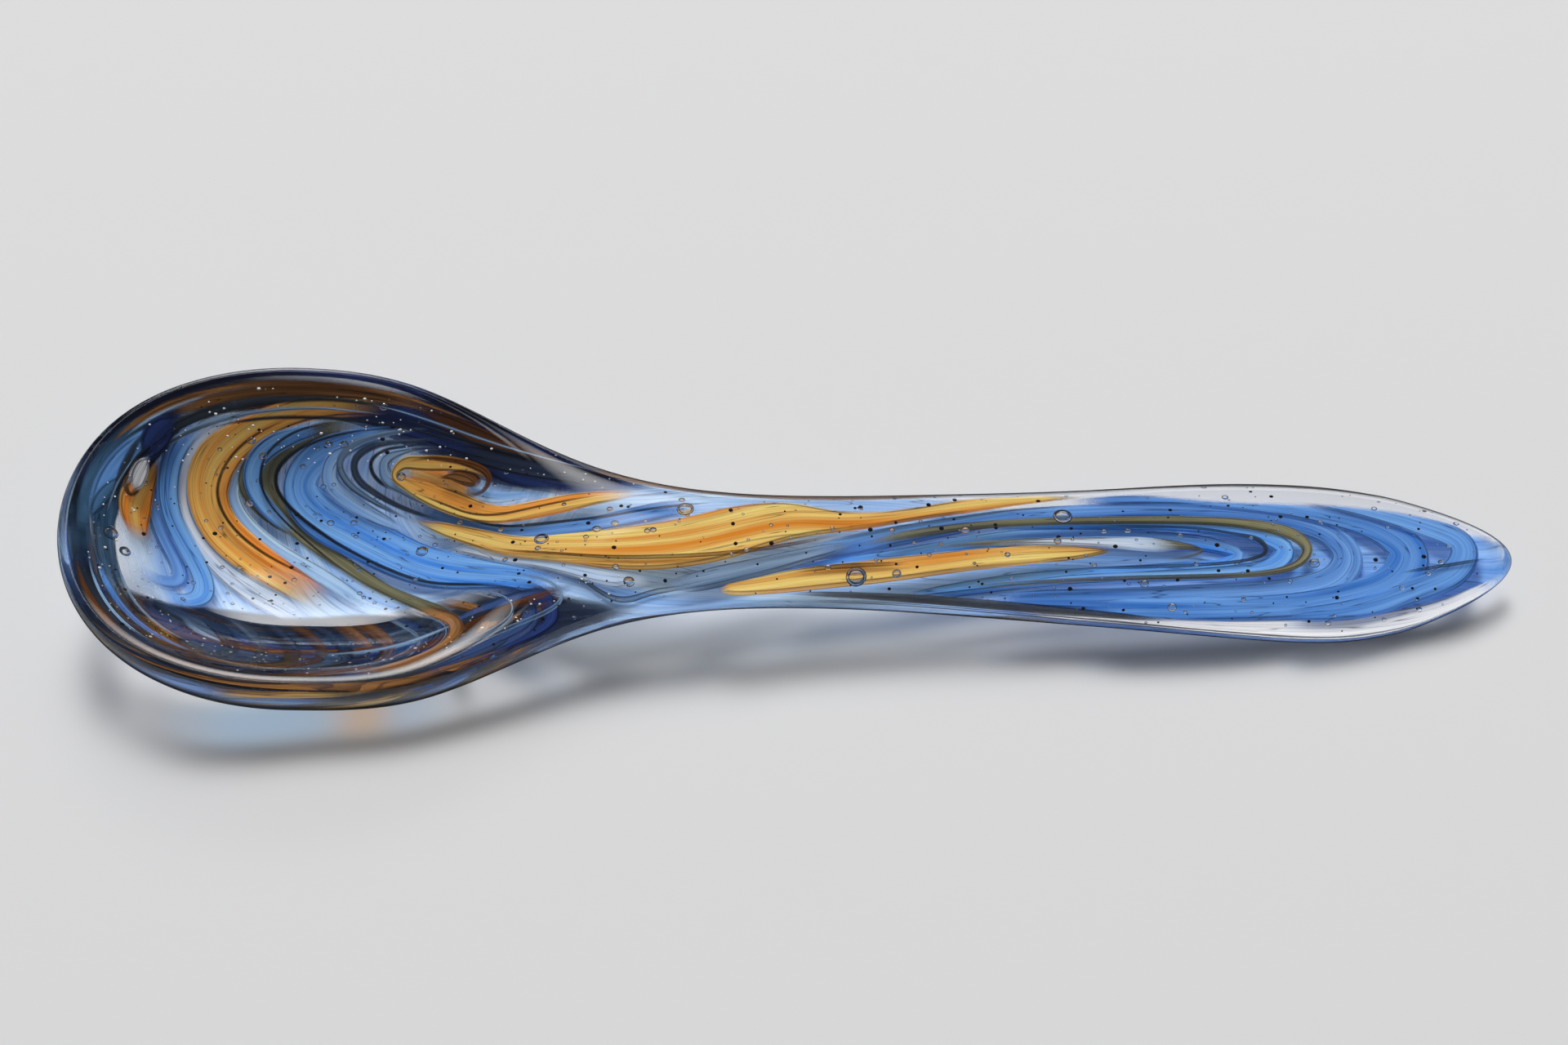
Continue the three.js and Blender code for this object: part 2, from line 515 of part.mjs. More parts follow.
// Handle
addCane('amber_tongue', 'amber', 3, [
  [80, -6.5, 0.3], [83.6, -5.9, 0.75], [87.6, -5, 1.05], [91.8, -4.2, 1.1], [96.4, -3.6, 1.05],
  [101.4, -3, 1], [106.4, -2.4, 0.9], [111.4, -1.8, 0.85], [116.4, -1.3, 0.78],
  [121.4, -0.9, 0.65], [125.6, -0.7, 0.42], [129.2, -0.5, 0.12],
]);
addCane('tongue_streak', 'umber', 4, [
  [88.6, -4, 0.08], [92, -3.5, 0.16], [96, -3.1, 0.2], [100, -2.9, 0.16], [104, -2.7, 0.08],
]);
addCane('handle_crest', 'deep', 1, [
  [88, -0.9, 0.25], [92, 0, 0.55], [96, 0.7, 0.8], [100.6, 1.5, 0.85], [105.4, 2.3, 0.85],
  [110.4, 3.2, 0.8], [115.8, 4.2, 0.75], [121.6, 5, 0.75], [128, 5.6, 0.8], [135, 6, 0.95],
  [142, 6, 1.1], [148.4, 5.6, 1.3], [153.6, 4.7, 1.5], [157.3, 3, 1.7], [158.9, 0.2, 1.8],
  [157.3, -2.7, 1.7], [153.6, -4.3, 1.55], [148.4, -5.2, 1.45], [141.6, -5.7, 1.4],
  [134.4, -5.9, 1.3], [127, -5.9, 1.15], [119.6, -5.8, 0.9], [112.6, -5.9, 0.5],
]);
addCane('hairpin_olive', 'olive', 3, [
  [97, -0.2, 0.2], [103, 1, 0.3], [109, 2, 0.32], [115, 2.8, 0.32], [122, 3.4, 0.32],
  [130, 3.8, 0.34], [138, 4, 0.36], [145, 3.9, 0.42], [149.6, 3.3, 0.5], [152.6, 2.1, 0.52],
  [153.7, 0.4, 0.44], [152.8, -1.4, 0.34], [150.2, -2.8, 0.28], [146, -3.6, 0.24], [140, -4, 0.22],
  [132, -4.2, 0.2], [124, -4.5, 0.18], [116, -5, 0.15], [109, -5.5, 0.1],
]);
addCane('hairpin_blue', 'deep', 2, [
  [113, 2.2, 0.15], [121, 2.8, 0.24], [130, 3.2, 0.32], [138, 3.3, 0.42], [144.6, 2.9, 0.62],
  [149, 1.9, 0.85], [150.9, 0.3, 0.95], [149.8, -1.4, 0.82], [146.2, -2.6, 0.58],
  [140, -3.3, 0.46], [132, -3.6, 0.38], [124, -3.9, 0.32], [117, -4.3, 0.2],
]);
addCane('hairpin_line', 'ink', 4, [
  [126, 2.9, 0.08], [135, 2.9, 0.12], [141.6, 2.6, 0.16], [145.8, 1.9, 0.2], [148.1, 0.9, 0.24],
  [148.4, -0.2, 0.22], [147, -1.3, 0.19], [143.8, -2.1, 0.17], [138.6, -2.6, 0.15],
  [132, -2.9, 0.12], [125, -3.1, 0.08],
]);
addCane('handle_blue', 'blue', 1, [
  [85, -3.3, 0.25], [89, -2.3, 0.5], [93, -1.6, 0.55], [97.4, -1, 0.6], [102, -0.5, 0.65],
  [107, 0.2, 0.7], [112.4, 1.1, 0.7], [118.4, 1.9, 0.72], [125, 2.2, 0.75], [132, 2.2, 0.75],
  [138.4, 1.8, 0.72], [143, 1.1, 0.6], [145.1, 0, 0.44], [143.6, -1.2, 0.52], [139.4, -1.9, 0.58],
  [133.4, -2.3, 0.55], [126.6, -2.6, 0.52], [119.8, -3, 0.5], [113, -3.6, 0.45],
  [106.6, -4.4, 0.35], [101, -5.1, 0.2],
]);
addCane('core_olive', 'olive', 2, [
  [106, 0.2, 0.12], [112, 0.7, 0.2], [118.6, 1.1, 0.26], [125.2, 1.3, 0.3], [131.8, 1.2, 0.34],
  [137.4, 0.9, 0.34], [140.5, 0.1, 0.16], [138.6, -0.7, 0.18], [135, -1.1, 0.12],
]);
addCane('core_pale', 'pale', 4, [
  [113, -0.3, 0.12], [119, 0.2, 0.25], [125, 0.4, 0.36], [131, 0.3, 0.5], [135.4, 0, 0.5],
  [138, -0.3, 0.2],
]);
addCane('blade_blue', 'blue', 2, [
  [124, 6.6, 0.25], [131, 7.2, 0.4], [138.6, 7.5, 0.45], [146, 7.3, 0.6], [153, 6.6, 0.85],
  [159.4, 5.3, 1.25], [164.4, 3.2, 1.8], [166.6, 0.3, 2.2], [165.2, -2.6, 1.95], [160.6, -5, 1.5],
  [154.4, -6.6, 1.3], [147, -7.5, 1.2], [139, -7.8, 1.15], [131.4, -7.7, 0.95],
  [124.6, -7.4, 0.55],
]);
addCane('tip_blue', 'blue', 3, [
  [152, 8.2, 0.25], [159, 7.3, 0.6], [165, 5.6, 0.95], [170, 3.6, 1.25], [173.6, 0.8, 1.4],
  [172.6, -1.9, 1.35], [168.6, -4.3, 1.2], [163, -6.6, 1], [156.6, -8.3, 0.8], [150, -9, 0.4],
]);
addCane('tip_line', 'ink', 4, [
  [176.6, -1, 0.1], [173.6, -1.6, 0.15], [169.6, -2.3, 0.15], [165, -3.2, 0.1],
]);

// The origin is under the middle of the spoon
const box = new THREE.Box3().setFromObject(spoon);
spoon.position.set(-(box.min.x + box.max.x) / 2, -(box.min.y + box.max.y) / 2, -box.min.z);

export default spoon;
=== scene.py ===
import math
import random

import bpy
import numpy as np
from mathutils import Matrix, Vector


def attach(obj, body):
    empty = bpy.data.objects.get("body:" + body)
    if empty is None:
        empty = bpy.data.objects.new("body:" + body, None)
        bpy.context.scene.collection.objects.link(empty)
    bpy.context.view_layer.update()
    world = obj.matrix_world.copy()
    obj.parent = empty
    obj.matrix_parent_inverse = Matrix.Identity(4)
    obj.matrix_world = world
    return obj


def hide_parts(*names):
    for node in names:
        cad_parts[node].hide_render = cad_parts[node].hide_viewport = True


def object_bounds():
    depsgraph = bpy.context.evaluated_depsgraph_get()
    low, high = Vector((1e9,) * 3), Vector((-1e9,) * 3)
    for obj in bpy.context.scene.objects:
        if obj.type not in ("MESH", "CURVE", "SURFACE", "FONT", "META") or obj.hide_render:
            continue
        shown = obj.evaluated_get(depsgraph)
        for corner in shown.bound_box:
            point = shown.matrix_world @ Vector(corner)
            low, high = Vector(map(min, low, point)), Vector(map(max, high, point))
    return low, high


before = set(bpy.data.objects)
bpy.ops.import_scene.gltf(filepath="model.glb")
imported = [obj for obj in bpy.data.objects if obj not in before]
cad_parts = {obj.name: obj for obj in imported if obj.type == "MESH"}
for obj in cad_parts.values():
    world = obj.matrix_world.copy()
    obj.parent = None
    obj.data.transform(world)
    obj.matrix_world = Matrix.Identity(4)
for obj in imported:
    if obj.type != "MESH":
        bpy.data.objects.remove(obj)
cad_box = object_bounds()

# Driving sizes, in metres
MM = 0.001
LENGTH = 180 * MM
BOWL_WIDTH = 51.6 * MM
NECK_WIDTH = 15.2 * MM
BLADE_WIDTH = 24.3 * MM
WALL = 7 * MM
NECK_THICKNESS = 12 * MM
BLADE_THICKNESS = 10 * MM
DISH_DEPTH = 14.2 * MM
NECK_HEIGHT = 10.6 * MM
SEAT = 0.35 * MM
LAYER_PITCH = 0.7 * MM
CANE_LAYERS = 4
CANE_COVER = 2.15 * MM        # half thickness of glass in which the layers lie at full pitch
SKIN = 0.3 * MM               # clear glass over a cane where the glass thins out
CANE_DEPTH = 0.6 * MM         # thickness of a cane at its middle
CANE_EDGE = 0.02 * MM         # thickness of a cane at its edge
CANE_STAGGER = 0.06 * MM      # between the heights of one layer's canes
STAGGER_STEPS = 10            # heights that one layer's canes take in turn
LEAST_HALF = 0.05 * MM        # half width of a cane where it is thinnest
LEAST_ROOM = 0.02             # of a cane's height is left where the glass runs out
END_CLEAR = 0.002             # of the length is free of canes at toe and tip
EDGE_SHARE = 0.985            # of the way out is the furthest that a cane lies
STATION = LENGTH / 180        # the unit in which places along and across the spoon are given
TOE = 29 * STATION
TIP = 16 * STATION
TOE_POWER = 2.4
TIP_POWER = 1.95
DISH_POWER = 1.25
SLOPE_STEP = 0.02 * MM

# Mesh fineness
CASING_ROWS = 420
CASING_COLUMNS = 72
CANE_STEPS = 10
CANE_COLUMNS = 14
RIM_KNOTS = 12
BUBBLE_ROWS = 8

# Softness of a cane's edges and ends
CLEAR_FROM = 108 * STATION    # the handle's sides begin to be clear here
CLEAR_FULL = 148 * STATION    # and are fully so from here on
CLEAR_SIDES = (0.78, 0.6)     # share of the way out to which colour goes then, near and far side
CLEAR_SOFT = 0.08
SPREAD = 0.5 * MM             # how far a broad cane's colour bleeds past its own edge
SPREADS = {"amber_hook": 0.2 * MM, "handle_crest": 0.3 * MM}
BROAD = 0.6 * MM              # half width from which a cane is broad
FEATHER = 0.3 * MM
WASH_FEATHER = 1.4 * MM
END_FEATHER = 7 * MM
END_FEATHERS = {
    "amber_crescent": 18 * MM, "amber_tongue": 1.5 * MM, "handle_wash": 2.5 * MM, "tip_blue": 4 * MM,
}
END_SHARE = 0.25              # of a short cane's run is its soft end
EYE = (48 * STATION, 13 * STATION)  # the middle of the swirl
EYE_TURN = 20 * MM            # run along the swirl for each radian round it
CANE_OFFSET = 100 * MM        # between the streak patterns of two canes

# Shadow and light on the table, painted into the share of light that the glass lets through: a dark crescent
# with coloured light inside it
KEY_ELEVATION = 57            # degrees
CRESCENT_INNER = 1.5 * MM
CRESCENT_OUTER = 2.4 * MM
GLOW_RISE = 2.5 * MM
GLOW_REACH = 9 * MM
GLOW_GREY = (0.55, 0.55, 0.57)
GLOW_BLUE = (0.5, 0.66, 0.84)
GLOW_AMBER = (0.72, 0.56, 0.44)
AMBER_AT = 36 * STATION
AMBER_SPAN = 4 * STATION
CLEAR_SHARE = 0.98            # of the light goes through each side of the clear glass

# Shares of light in the materials
GLASS_IOR = 1.5
LIT_SHARE = 0.68              # of the studio's light reaches a cane and comes back past its streaks
SHADOW_LEAK = 0.5             # of a cane's milk is left out of the shadow it casts
SHADOW_TINT = 0.1             # of a cane's colour goes into the light that leaks past it
THROUGH_SHARE = 0.06          # of a cane's scattered light goes on through it
LEAST_ALBEDO = 0.004
MOST_ALBEDO = 0.95
WHITE = (1, 1, 1)
BLACK = (0, 0, 0)

# Streaks in a cane: waves per millimetre along and across it
BROAD_WAVES = (0.03, 0.8)
FINE_WAVES = (0.04, 4.5)
THREAD_WAVES = ((0.03, 0.9), (0.02, 2.4))
BORDER_WAVES = (0.07, 0.05)

# Where each begins and ends, in the noise or in millimetres from a cane's edge, and its shade
BROAD_STOPS = (0.28, 0.72)
FINE_STOPS = (0.36, 0.5)
FINE_SHADE = (0.82, 0.83, 0.85)
THREAD_STOPS = (0.485, 0.495, 0.505)
THREAD_SHADE = (0.25, 0.25, 0.28)
BORDER_STOPS = (0.36, 0.5)
BORDER_PLACES = (0.16, 0.3, 0.46)
BORDER_SHADE = (0.16, 0.16, 0.18)

# Painted dark edges where clear glass or a bubble is seen at a slant: from and to which slant, and the shade
CONTOUR_SLANT = (0.64, 0.84)
CONTOUR_SHADE = (0.08, 0.075, 0.075)
RING_SLANT = (0.4, 0.64)
RING_COVER = (0.95, 0.95, 0.95)
RING_SHADE = (0.02, 0.02, 0.025)

# Studio
FLOOR_COLOUR = (0.716, 0.716, 0.716)
FLOOR_PLAIN = 0.15            # from the middle out to here the floor is plain paper
FLOOR_SIZE = 0.6
FLOOR_DROP = 0.03 * MM        # from the spoon's flats down to the floor
ROOM_LOW = (0.02, 0.02, 0.025)
ROOM_HIGH = (0.12, 0.12, 0.125)
LAMP_MIDDLE = (0.5, 0.5, 0)
LAMP_FALL = (0.1, 0.5)        # of a lamp's width, from its middle: where its light begins to fall and ends
BOWL_MIDDLE = (-55 * MM, 0, 10 * MM)

# Lamps: name, aim, azimuth and elevation in degrees, distance, width and height, watts
KEY_LAMP = ("key", (0, 0, 0), 0, KEY_ELEVATION, 4, (2.2, 2.4), 538)
MIRRORED_LAMPS = (
    ("window", BOWL_MIDDLE, -4, 24, 0.32, (0.2, 0.24), 1.0),
    ("strip", BOWL_MIDDLE, 180, 15, 0.42, (0.2, 0.02), 0.08),
    ("rim_light", BOWL_MIDDLE, 0, 50, 0.4, (0.12, 0.08), 0.1),
)

# Camera, its aim from the toe
CAMERA_AIM = (88.6 * MM, 7.93 * MM, 6 * MM)
CAMERA_AZIMUTH = 181.72       # degrees
CAMERA_ELEVATION = 49.5
CAMERA_DISTANCE = 484 * MM
SENSOR_WIDTH = 36             # millimetres
LENS_SHARE = 2.4374           # of the sensor's width is the focal length
CLIP_START = 0.01


def spline(knots):
    """Natural cubic spline through (place, value) knots."""
    at, value = np.array(knots, float).T
    gap = np.diff(at)
    count = len(at)
    matrix = np.eye(count)
    load = np.zeros(count)
    for i in range(1, count - 1):
        matrix[i, i - 1:i + 2] = gap[i - 1], 2 * (gap[i - 1] + gap[i]), gap[i]
        load[i] = 6 * ((value[i + 1] - value[i]) / gap[i] - (value[i] - value[i - 1]) / gap[i - 1])
    bend = np.linalg.solve(matrix, load)

    def curve(place):
        i = np.clip(np.searchsorted(at, place) - 1, 0, count - 2)
        a = (at[i + 1] - place) / gap[i]
        b = 1 - a
        wave = ((a**3 - a) * bend[i] + (b**3 - b) * bend[i + 1]) * gap[i]**2 / 6
        return a * value[i] + b * value[i + 1] + wave

    return curve


def along_length(knots):
    return spline([(station * STATION, value) for station, value in knots])


def level_start(knots):
    """Knots mirrored about the first one, so that the curve starts level there."""
    start = knots[0][0]
    return [(2 * start - station, value) for station, value in knots[:0:-1]] + knots


FLOOR = WALL / 2 - SEAT
BLADE_HEIGHT = BLADE_THICKNESS / 2 - SEAT
RISE = NECK_HEIGHT - FLOOR
DROP = NECK_HEIGHT - BLADE_HEIGHT
outline = along_length([
    (0, 0.513 * BOWL_WIDTH), (14, 0.496 * BOWL_WIDTH), (29, 0.5 * BOWL_WIDTH), (42, 0.465 * BOWL_WIDTH),
    (54, 0.345 * BOWL_WIDTH), (66, 0.227 * BOWL_WIDTH), (78, 0.559 * NECK_WIDTH), (92, 0.5 * NECK_WIDTH),
    (110, 0.356 * BLADE_WIDTH), (130, 0.432 * BLADE_WIDTH), (150, 0.5 * BLADE_WIDTH),
    (160, 0.477 * BLADE_WIDTH), (170, 0.374 * BLADE_WIDTH), (180, 0.292 * BLADE_WIDTH),
])
keel = along_length(level_start([
    (29, FLOOR), (44, FLOOR + 0.15 * RISE), (58, FLOOR + 0.84 * RISE), (72, NECK_HEIGHT),
    (88, BLADE_HEIGHT + 0.85 * DROP), (104, BLADE_HEIGHT + 0.69 * DROP),
    (124, BLADE_HEIGHT + 0.44 * DROP), (144, BLADE_HEIGHT + 0.22 * DROP), (160, BLADE_HEIGHT),
    (180, BLADE_HEIGHT + 0.4 * MM),
]))
dish = along_length([
    (0, 1.14 * DISH_DEPTH), (29, DISH_DEPTH), (44, 0.78 * DISH_DEPTH), (58, 0.28 * DISH_DEPTH),
    (72, 0.06 * DISH_DEPTH), (88, 0), (104, 0), (180, 0),
])
body = along_length([
    (0, WALL / 2), (29, WALL / 2), (50, 0.6 * WALL), (66, 0.45 * NECK_THICKNESS),
    (80, NECK_THICKNESS / 2), (100, NECK_THICKNESS / 2), (130, 0.54 * BLADE_THICKNESS),
    (160, BLADE_THICKNESS / 2), (180, 0.4 * BLADE_THICKNESS),
])
squareness = along_length([(0, 3), (29, 3), (50, 2.2), (70, 1.2), (90, 1), (180, 1)])


def end_fall(x):
    return np.maximum((TOE - x) / TOE, 0)**TOE_POWER + np.maximum((x - LENGTH + TIP) / TIP, 0)**TIP_POWER


def reach(x, y):
    """0 on the centre line, 1 on the edge."""
    return end_fall(x) + (y / outline(x))**2


def middle(x, y):
    return keel(np.maximum(x, TOE)) + dish(x) * reach(x, y)**DISH_POWER


def half_glass(x, y):
    return body(x) * np.sqrt(np.clip(1 - reach(x, y)**squareness(x), 0, 1))


def edge(x):
    return outline(x) * np.sqrt(np.clip(1 - end_fall(x), 0, 1))


def place(x, y, t):
    """Points t above the middle of the glass, square to it, toe at x = 0."""
    slope_x = (middle(x + SLOPE_STEP, y) - middle(x - SLOPE_STEP, y)) / (2 * SLOPE_STEP)
    slope_y = (middle(x, y + SLOPE_STEP) - middle(x, y - SLOPE_STEP)) / (2 * SLOPE_STEP)
    steep = np.sqrt(slope_x**2 + slope_y**2 + 1)
    return np.stack([x - t * slope_x / steep, y - t * slope_y / steep, middle(x, y) + t / steep], -1)


def add_mesh(name, points, faces, material, slot, *nodes):
    """A smooth mesh that rides on the spoon and stands for the named CAD nodes."""
    mesh = bpy.data.meshes.new(name)
    mesh.from_pydata([tuple(p) for p in points], [], faces)
    mesh.polygons.foreach_set("use_smooth", [True] * len(mesh.polygons))
    mesh.materials.append(material)
    obj = bpy.data.objects.new(name, mesh)
    bpy.context.scene.collection.objects.link(obj)
    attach(obj, "root")
    if nodes:
        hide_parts(*nodes)
    return obj


def casing_points():
    """Rings round the spoon from toe to tip, with a pole at each end."""
    share = np.arange(1, CASING_ROWS) / CASING_ROWS
    x = (LENGTH * (1 - np.cos(np.pi * share)) / 2)[:, None]
    turn = 2 * np.pi * np.arange(2 * CASING_COLUMNS) / (2 * CASING_COLUMNS)
    y = edge(x) * np.cos(turn)
    x = np.broadcast_to(x, y.shape)
    rings = place(x, y, np.where(turn < np.pi, 1, -1) * half_glass(x, y))
    ends = place(np.array([0, LENGTH]), np.zeros(2), np.zeros(2))
    points = np.concatenate([ends[:1], rings.reshape(-1, 3), ends[1:]])
    points[:, 2] = np.maximum(points[:, 2], 0)
    return points


def capped_rings(first, rings, around):
    """Faces over rings of points, with a pole at first and another after the last ring."""
    last = first + 1 + rings * around
    faces = []
    for j in range(around):
        k = (j + 1) % around
        faces.append((first, first + 1 + k, first + 1 + j))
        for i in range(rings - 1):
            here = first + 1 + i * around
            ahead = here + around
            faces.append((here + j, here + k, ahead + k, ahead + j))
        faces.append((last - around + j, last - around + k, last))
    return faces


casing = casing_points()
SHIFT = Vector(((cad_box[0].x + cad_box[1].x - casing[:, 0].min() - casing[:, 0].max()) / 2, 0, 0))


def smooth_step(value):
    value = np.clip(value, 0, 1)
    return value * value * (3 - 2 * value)


# Middle of the crescent on the table: station, and place across in stations
crescent = along_length([
    (0, -12), (4, -16), (8, -19), (16, -21.9), (30, -21.5), (40, -20.6), (48, -18.7), (56, -16.1),
    (64, -13.5), (76, -12), (110, -10.5), (123, -10.1), (143, -9.8), (164, -8.2), (175, -6), (180, -3.4),
])
# At stations, the share of the light that is gone in the crescent
CRESCENT_DARK = (
    (0, 0.1), (8, 0.45), (16, 0.78), (24, 0.86), (64, 0.86), (76, 0.6), (84, 0.5), (110, 0.5), (146, 0.7),
    (174, 0.75), (180, 0.5),
)
# At stations, how far the light inside it is dimmed or coloured, and how far that is colour
GLOW_SHARE = ((0, 0.3), (10, 0.9), (20, 1), (40, 1), (50, 0.5), (64, 0))
GLOW_COLOUR = ((10, 0), (20, 1), (40, 1), (48, 0.2))


def along_casing(shares):
    return np.interp(casing[:, 0] / STATION, *zip(*shares))[:, None]


def thrown_light():
    """The painted share of red, green and blue light that goes through at each point of the casing: the
    crescent and its glow.
    """
    x, y, z = casing.T[:, :, None]
    inward = y - z / math.tan(math.radians(KEY_ELEVATION)) - crescent(x) * STATION
    amber = np.exp(-((x - AMBER_AT) / AMBER_SPAN)**2)
    tint = np.array(GLOW_BLUE) * (1 - amber) + np.array(GLOW_AMBER) * amber
    tint = np.array(GLOW_GREY) + along_casing(GLOW_COLOUR) * (tint - np.array(GLOW_GREY))
    glow = smooth_step(inward / GLOW_RISE) * smooth_step((GLOW_REACH - inward) / GLOW_RISE)
    width = np.where(inward < 0, CRESCENT_OUTER, CRESCENT_INNER)
    dark = along_casing(CRESCENT_DARK) * np.exp(-(inward / width)**2)
    share = (1 - along_casing(GLOW_SHARE) * glow * (1 - tint)) * (1 - dark)
    under = np.tile(np.arange(2 * CASING_COLUMNS) > CASING_COLUMNS, CASING_ROWS - 1)
    under = np.concatenate([[False], under, [False]])[:, None]
    colour = CLEAR_SHARE * np.where(under, share, 1)
    return np.concatenate([colour, np.ones_like(amber)], 1)


def cane_grid(knots, feather, spread, end_feather):
    """Places over a cane, its run along and across, its cover there and the way in from its edge."""
    drawn = np.array(knots, float) * STATION
    run = np.concatenate([[0], np.cumsum(np.hypot(*np.diff(drawn[:, :2], axis=0).T))])
    rows = np.linspace(0, run[-1], CANE_STEPS * (len(knots) - 1) + 1)
    along_x, along_y, half_width = (spline(np.stack([run, drawn[:, axis]], -1)) for axis in range(3))
    ahead_x = along_x(rows + SLOPE_STEP) - along_x(rows - SLOPE_STEP)
    ahead_y = along_y(rows + SLOPE_STEP) - along_y(rows - SLOPE_STEP)
    pace = np.hypot(ahead_x, ahead_y)
    core = np.maximum(half_width(rows), LEAST_HALF)[:, None]
    half = core + spread * smooth_step(core / BROAD)
    across = half * np.sin(np.pi * (np.arange(CANE_COLUMNS + 1) / CANE_COLUMNS - 0.5))
    x = along_x(rows)[:, None] - across * (ahead_y / pace)[:, None]
    y = along_y(rows)[:, None] + across * (ahead_x / pace)[:, None]
    ends = np.minimum(rows, run[-1] - rows)[:, None]
    inset = half - np.abs(across)
    cover = smooth_step(inset / np.minimum(feather, half))
    cover = cover * smooth_step(ends / min(end_feather, END_SHARE * run[-1]))
    return x, y, np.broadcast_to(rows[:, None], x.shape), across, cover, inset


def make_film(order, name, layer, knots, feather=FEATHER, rimmed=False, swirled=False):
    """Points, faces and painted values of a lens-shaped film, the films of one layer a little apart."""
    spread = SPREADS.get(name, SPREAD)
    end_feather = END_FEATHERS.get(name, END_FEATHER)
    x, y, along, across, cover, inset = cane_grid(knots, feather, spread, end_feather)
    x = np.clip(x, END_CLEAR * LENGTH, (1 - END_CLEAR) * LENGTH)
    limit = EDGE_SHARE * edge(x)
    y = np.clip(y, -limit, limit)
    if not rimmed:
        cover = cover * side_cover(x, y)
    if swirled:
        along = EYE_TURN * np.arctan2(y - EYE[1], EYE[0] - x)
        across = np.hypot(x - EYE[0], y - EYE[1])
    stagger = order % STAGGER_STEPS - (STAGGER_STEPS - 1) / 2
    level = (layer - (CANE_LAYERS + 1) / 2) * LAYER_PITCH + stagger * CANE_STAGGER
    thick = CANE_EDGE + (CANE_DEPTH - CANE_EDGE) * np.sqrt(cover)
    room = np.clip((half_glass(x, y) - SKIN) / CANE_COVER, LEAST_ROOM, 1)
    over = place(x, y, (level + thick / 2) * room).reshape(-1, 3)
    under = place(x, y, (level - thick / 2) * room).reshape(-1, 3)
    points = np.concatenate([over, under]) + np.array(SHIFT)
    values = np.stack([along + order * CANE_OFFSET, across, cover, inset]).reshape(4, -1)
    return points, film_faces(*x.shape), np.tile(values, 2)


def add_films(name, kind, films):
    """One piece of one colour, made of one film or more."""
    points, faces, values = zip(*films)
    starts = np.cumsum([0] + [len(part) for part in points]).tolist()
    joined = [tuple(start + v for v in face) for start, part in zip(starts, faces) for face in part]
    nodes = [name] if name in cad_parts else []
    look = cane_material(LOOKS.get(name, kind))
    obj = add_mesh(name, np.concatenate(points), joined, look, kind_slot(kind), *nodes)
    paint(obj, *np.concatenate(values, 1))
    return obj


def add_cane(order, name, kind, layer, knots, **settings):
    return add_films(name, kind, [make_film(order, name, layer, knots, **settings)])


def side_cover(x, y):
    """1 where colour may lie, falling to 0 in the clear sides of the handle."""
    near, far = CLEAR_SIDES
    out = y / edge(x)
    begun = smooth_step((x - CLEAR_FROM) / (CLEAR_FULL - CLEAR_FROM))
    limit = 1 + CLEAR_SOFT - begun * (1 + CLEAR_SOFT - np.where(out < 0, near, far))
    return smooth_step(0.5 + (limit - np.abs(out)) / CLEAR_SOFT)


def film_faces(rows, columns):
    """A closed film: an upper sheet, an under sheet and the wall round them."""
    count = rows * columns
    faces = []
    for i in range(rows - 1):
        for j in range(columns - 1):
            a = i * columns + j
            quad = (a, a + columns, a + columns + 1, a + 1)
            faces.append(quad)
            faces.append(tuple(count + v for v in reversed(quad)))
    rim = [i * columns for i in range(rows)]
    rim += [(rows - 1) * columns + j for j in range(1, columns)]
    rim += [i * columns + columns - 1 for i in range(rows - 2, -1, -1)]
    rim += list(range(columns - 2, 0, -1))
    for a, b in zip(rim, rim[1:] + rim[:1]):
        faces.append((b, a, count + a, count + b))
    return faces


def paint(obj, along, across, cover, inset):
    """The run along and across a film as its UV map, its colour's cover, and the way in from its edge."""
    mesh = obj.data
    corner = np.zeros(len(mesh.loops), int)
    mesh.loops.foreach_get("vertex_index", corner)
    flow = np.stack([along[corner], across[corner]], -1) / MM
    mesh.uv_layers.new(name="flow").data.foreach_set("uv", flow.astype(np.float32).ravel())
    for name, value in (("cover", cover), ("inset", inset / MM)):
        mesh.attributes.new(name, "FLOAT", "POINT").data.foreach_set("value", value.astype(np.float32))


# Glass colours: the darker and the lighter streaks in each, as seen from above, and how milky it is
KINDS = {
    "amber": ((188, 116, 34), (236, 190, 112), 0.92), "rust": ((74, 44, 20), (156, 110, 62), 0.9),
    "umber": ((52, 28, 10), (110, 64, 26), 0.85), "olive": ((80, 80, 60), (126, 122, 90), 0.85),
    "ink": ((12, 16, 22), (40, 48, 58), 0.85), "steel": ((78, 104, 132), (126, 150, 174), 0.85),
    "slate": ((64, 86, 114), (126, 148, 172), 0.85), "navy": ((12, 20, 48), (32, 50, 100), 0.9),
    "deep": ((44, 92, 162), (106, 150, 202), 0.85), "blue": ((44, 98, 170), (104, 150, 202), 0.85),
    "sky": ((116, 156, 202), (172, 196, 222), 0.75), "pale": ((150, 176, 206), (208, 216, 226), 0.7),
    "mist": ((112, 150, 196), (168, 190, 216), 0.75), "haze": ((80, 126, 184), (132, 168, 208), 0.85),
    "dusk": ((8, 14, 26), (36, 46, 66), 0.9), "night": ((16, 28, 58), (52, 76, 122), 0.85),
    "shale": ((28, 38, 54), (78, 94, 116), 0.8), "bark": ((40, 24, 14), (104, 70, 40), 0.85),
    "whitish": ((188, 190, 194), (222, 222, 222), 0.92), "tide": ((22, 44, 66), (70, 106, 138), 0.85),
    "honey": ((210, 124, 40), (242, 182, 100), 0.92), "azure": ((52, 116, 196), (116, 164, 218), 0.88),
}
# Night, shale, dusk, tide and bark are darker copies of other glasses, painted shade mostly on the walls of
# the bowl
SLOTS = {                     # kinds that are shades of another glass
    "night": "navy_glass", "shale": "slate_glass", "dusk": "slate_glass", "tide": "slate_glass",
    "bark": "umber_glass", "honey": "amber_glass", "azure": "blue_glass", "deep": "deep_blue_glass",
    "haze": "sky_glass", "mist": "pale_glass", "whitish": "clear_glass",
}
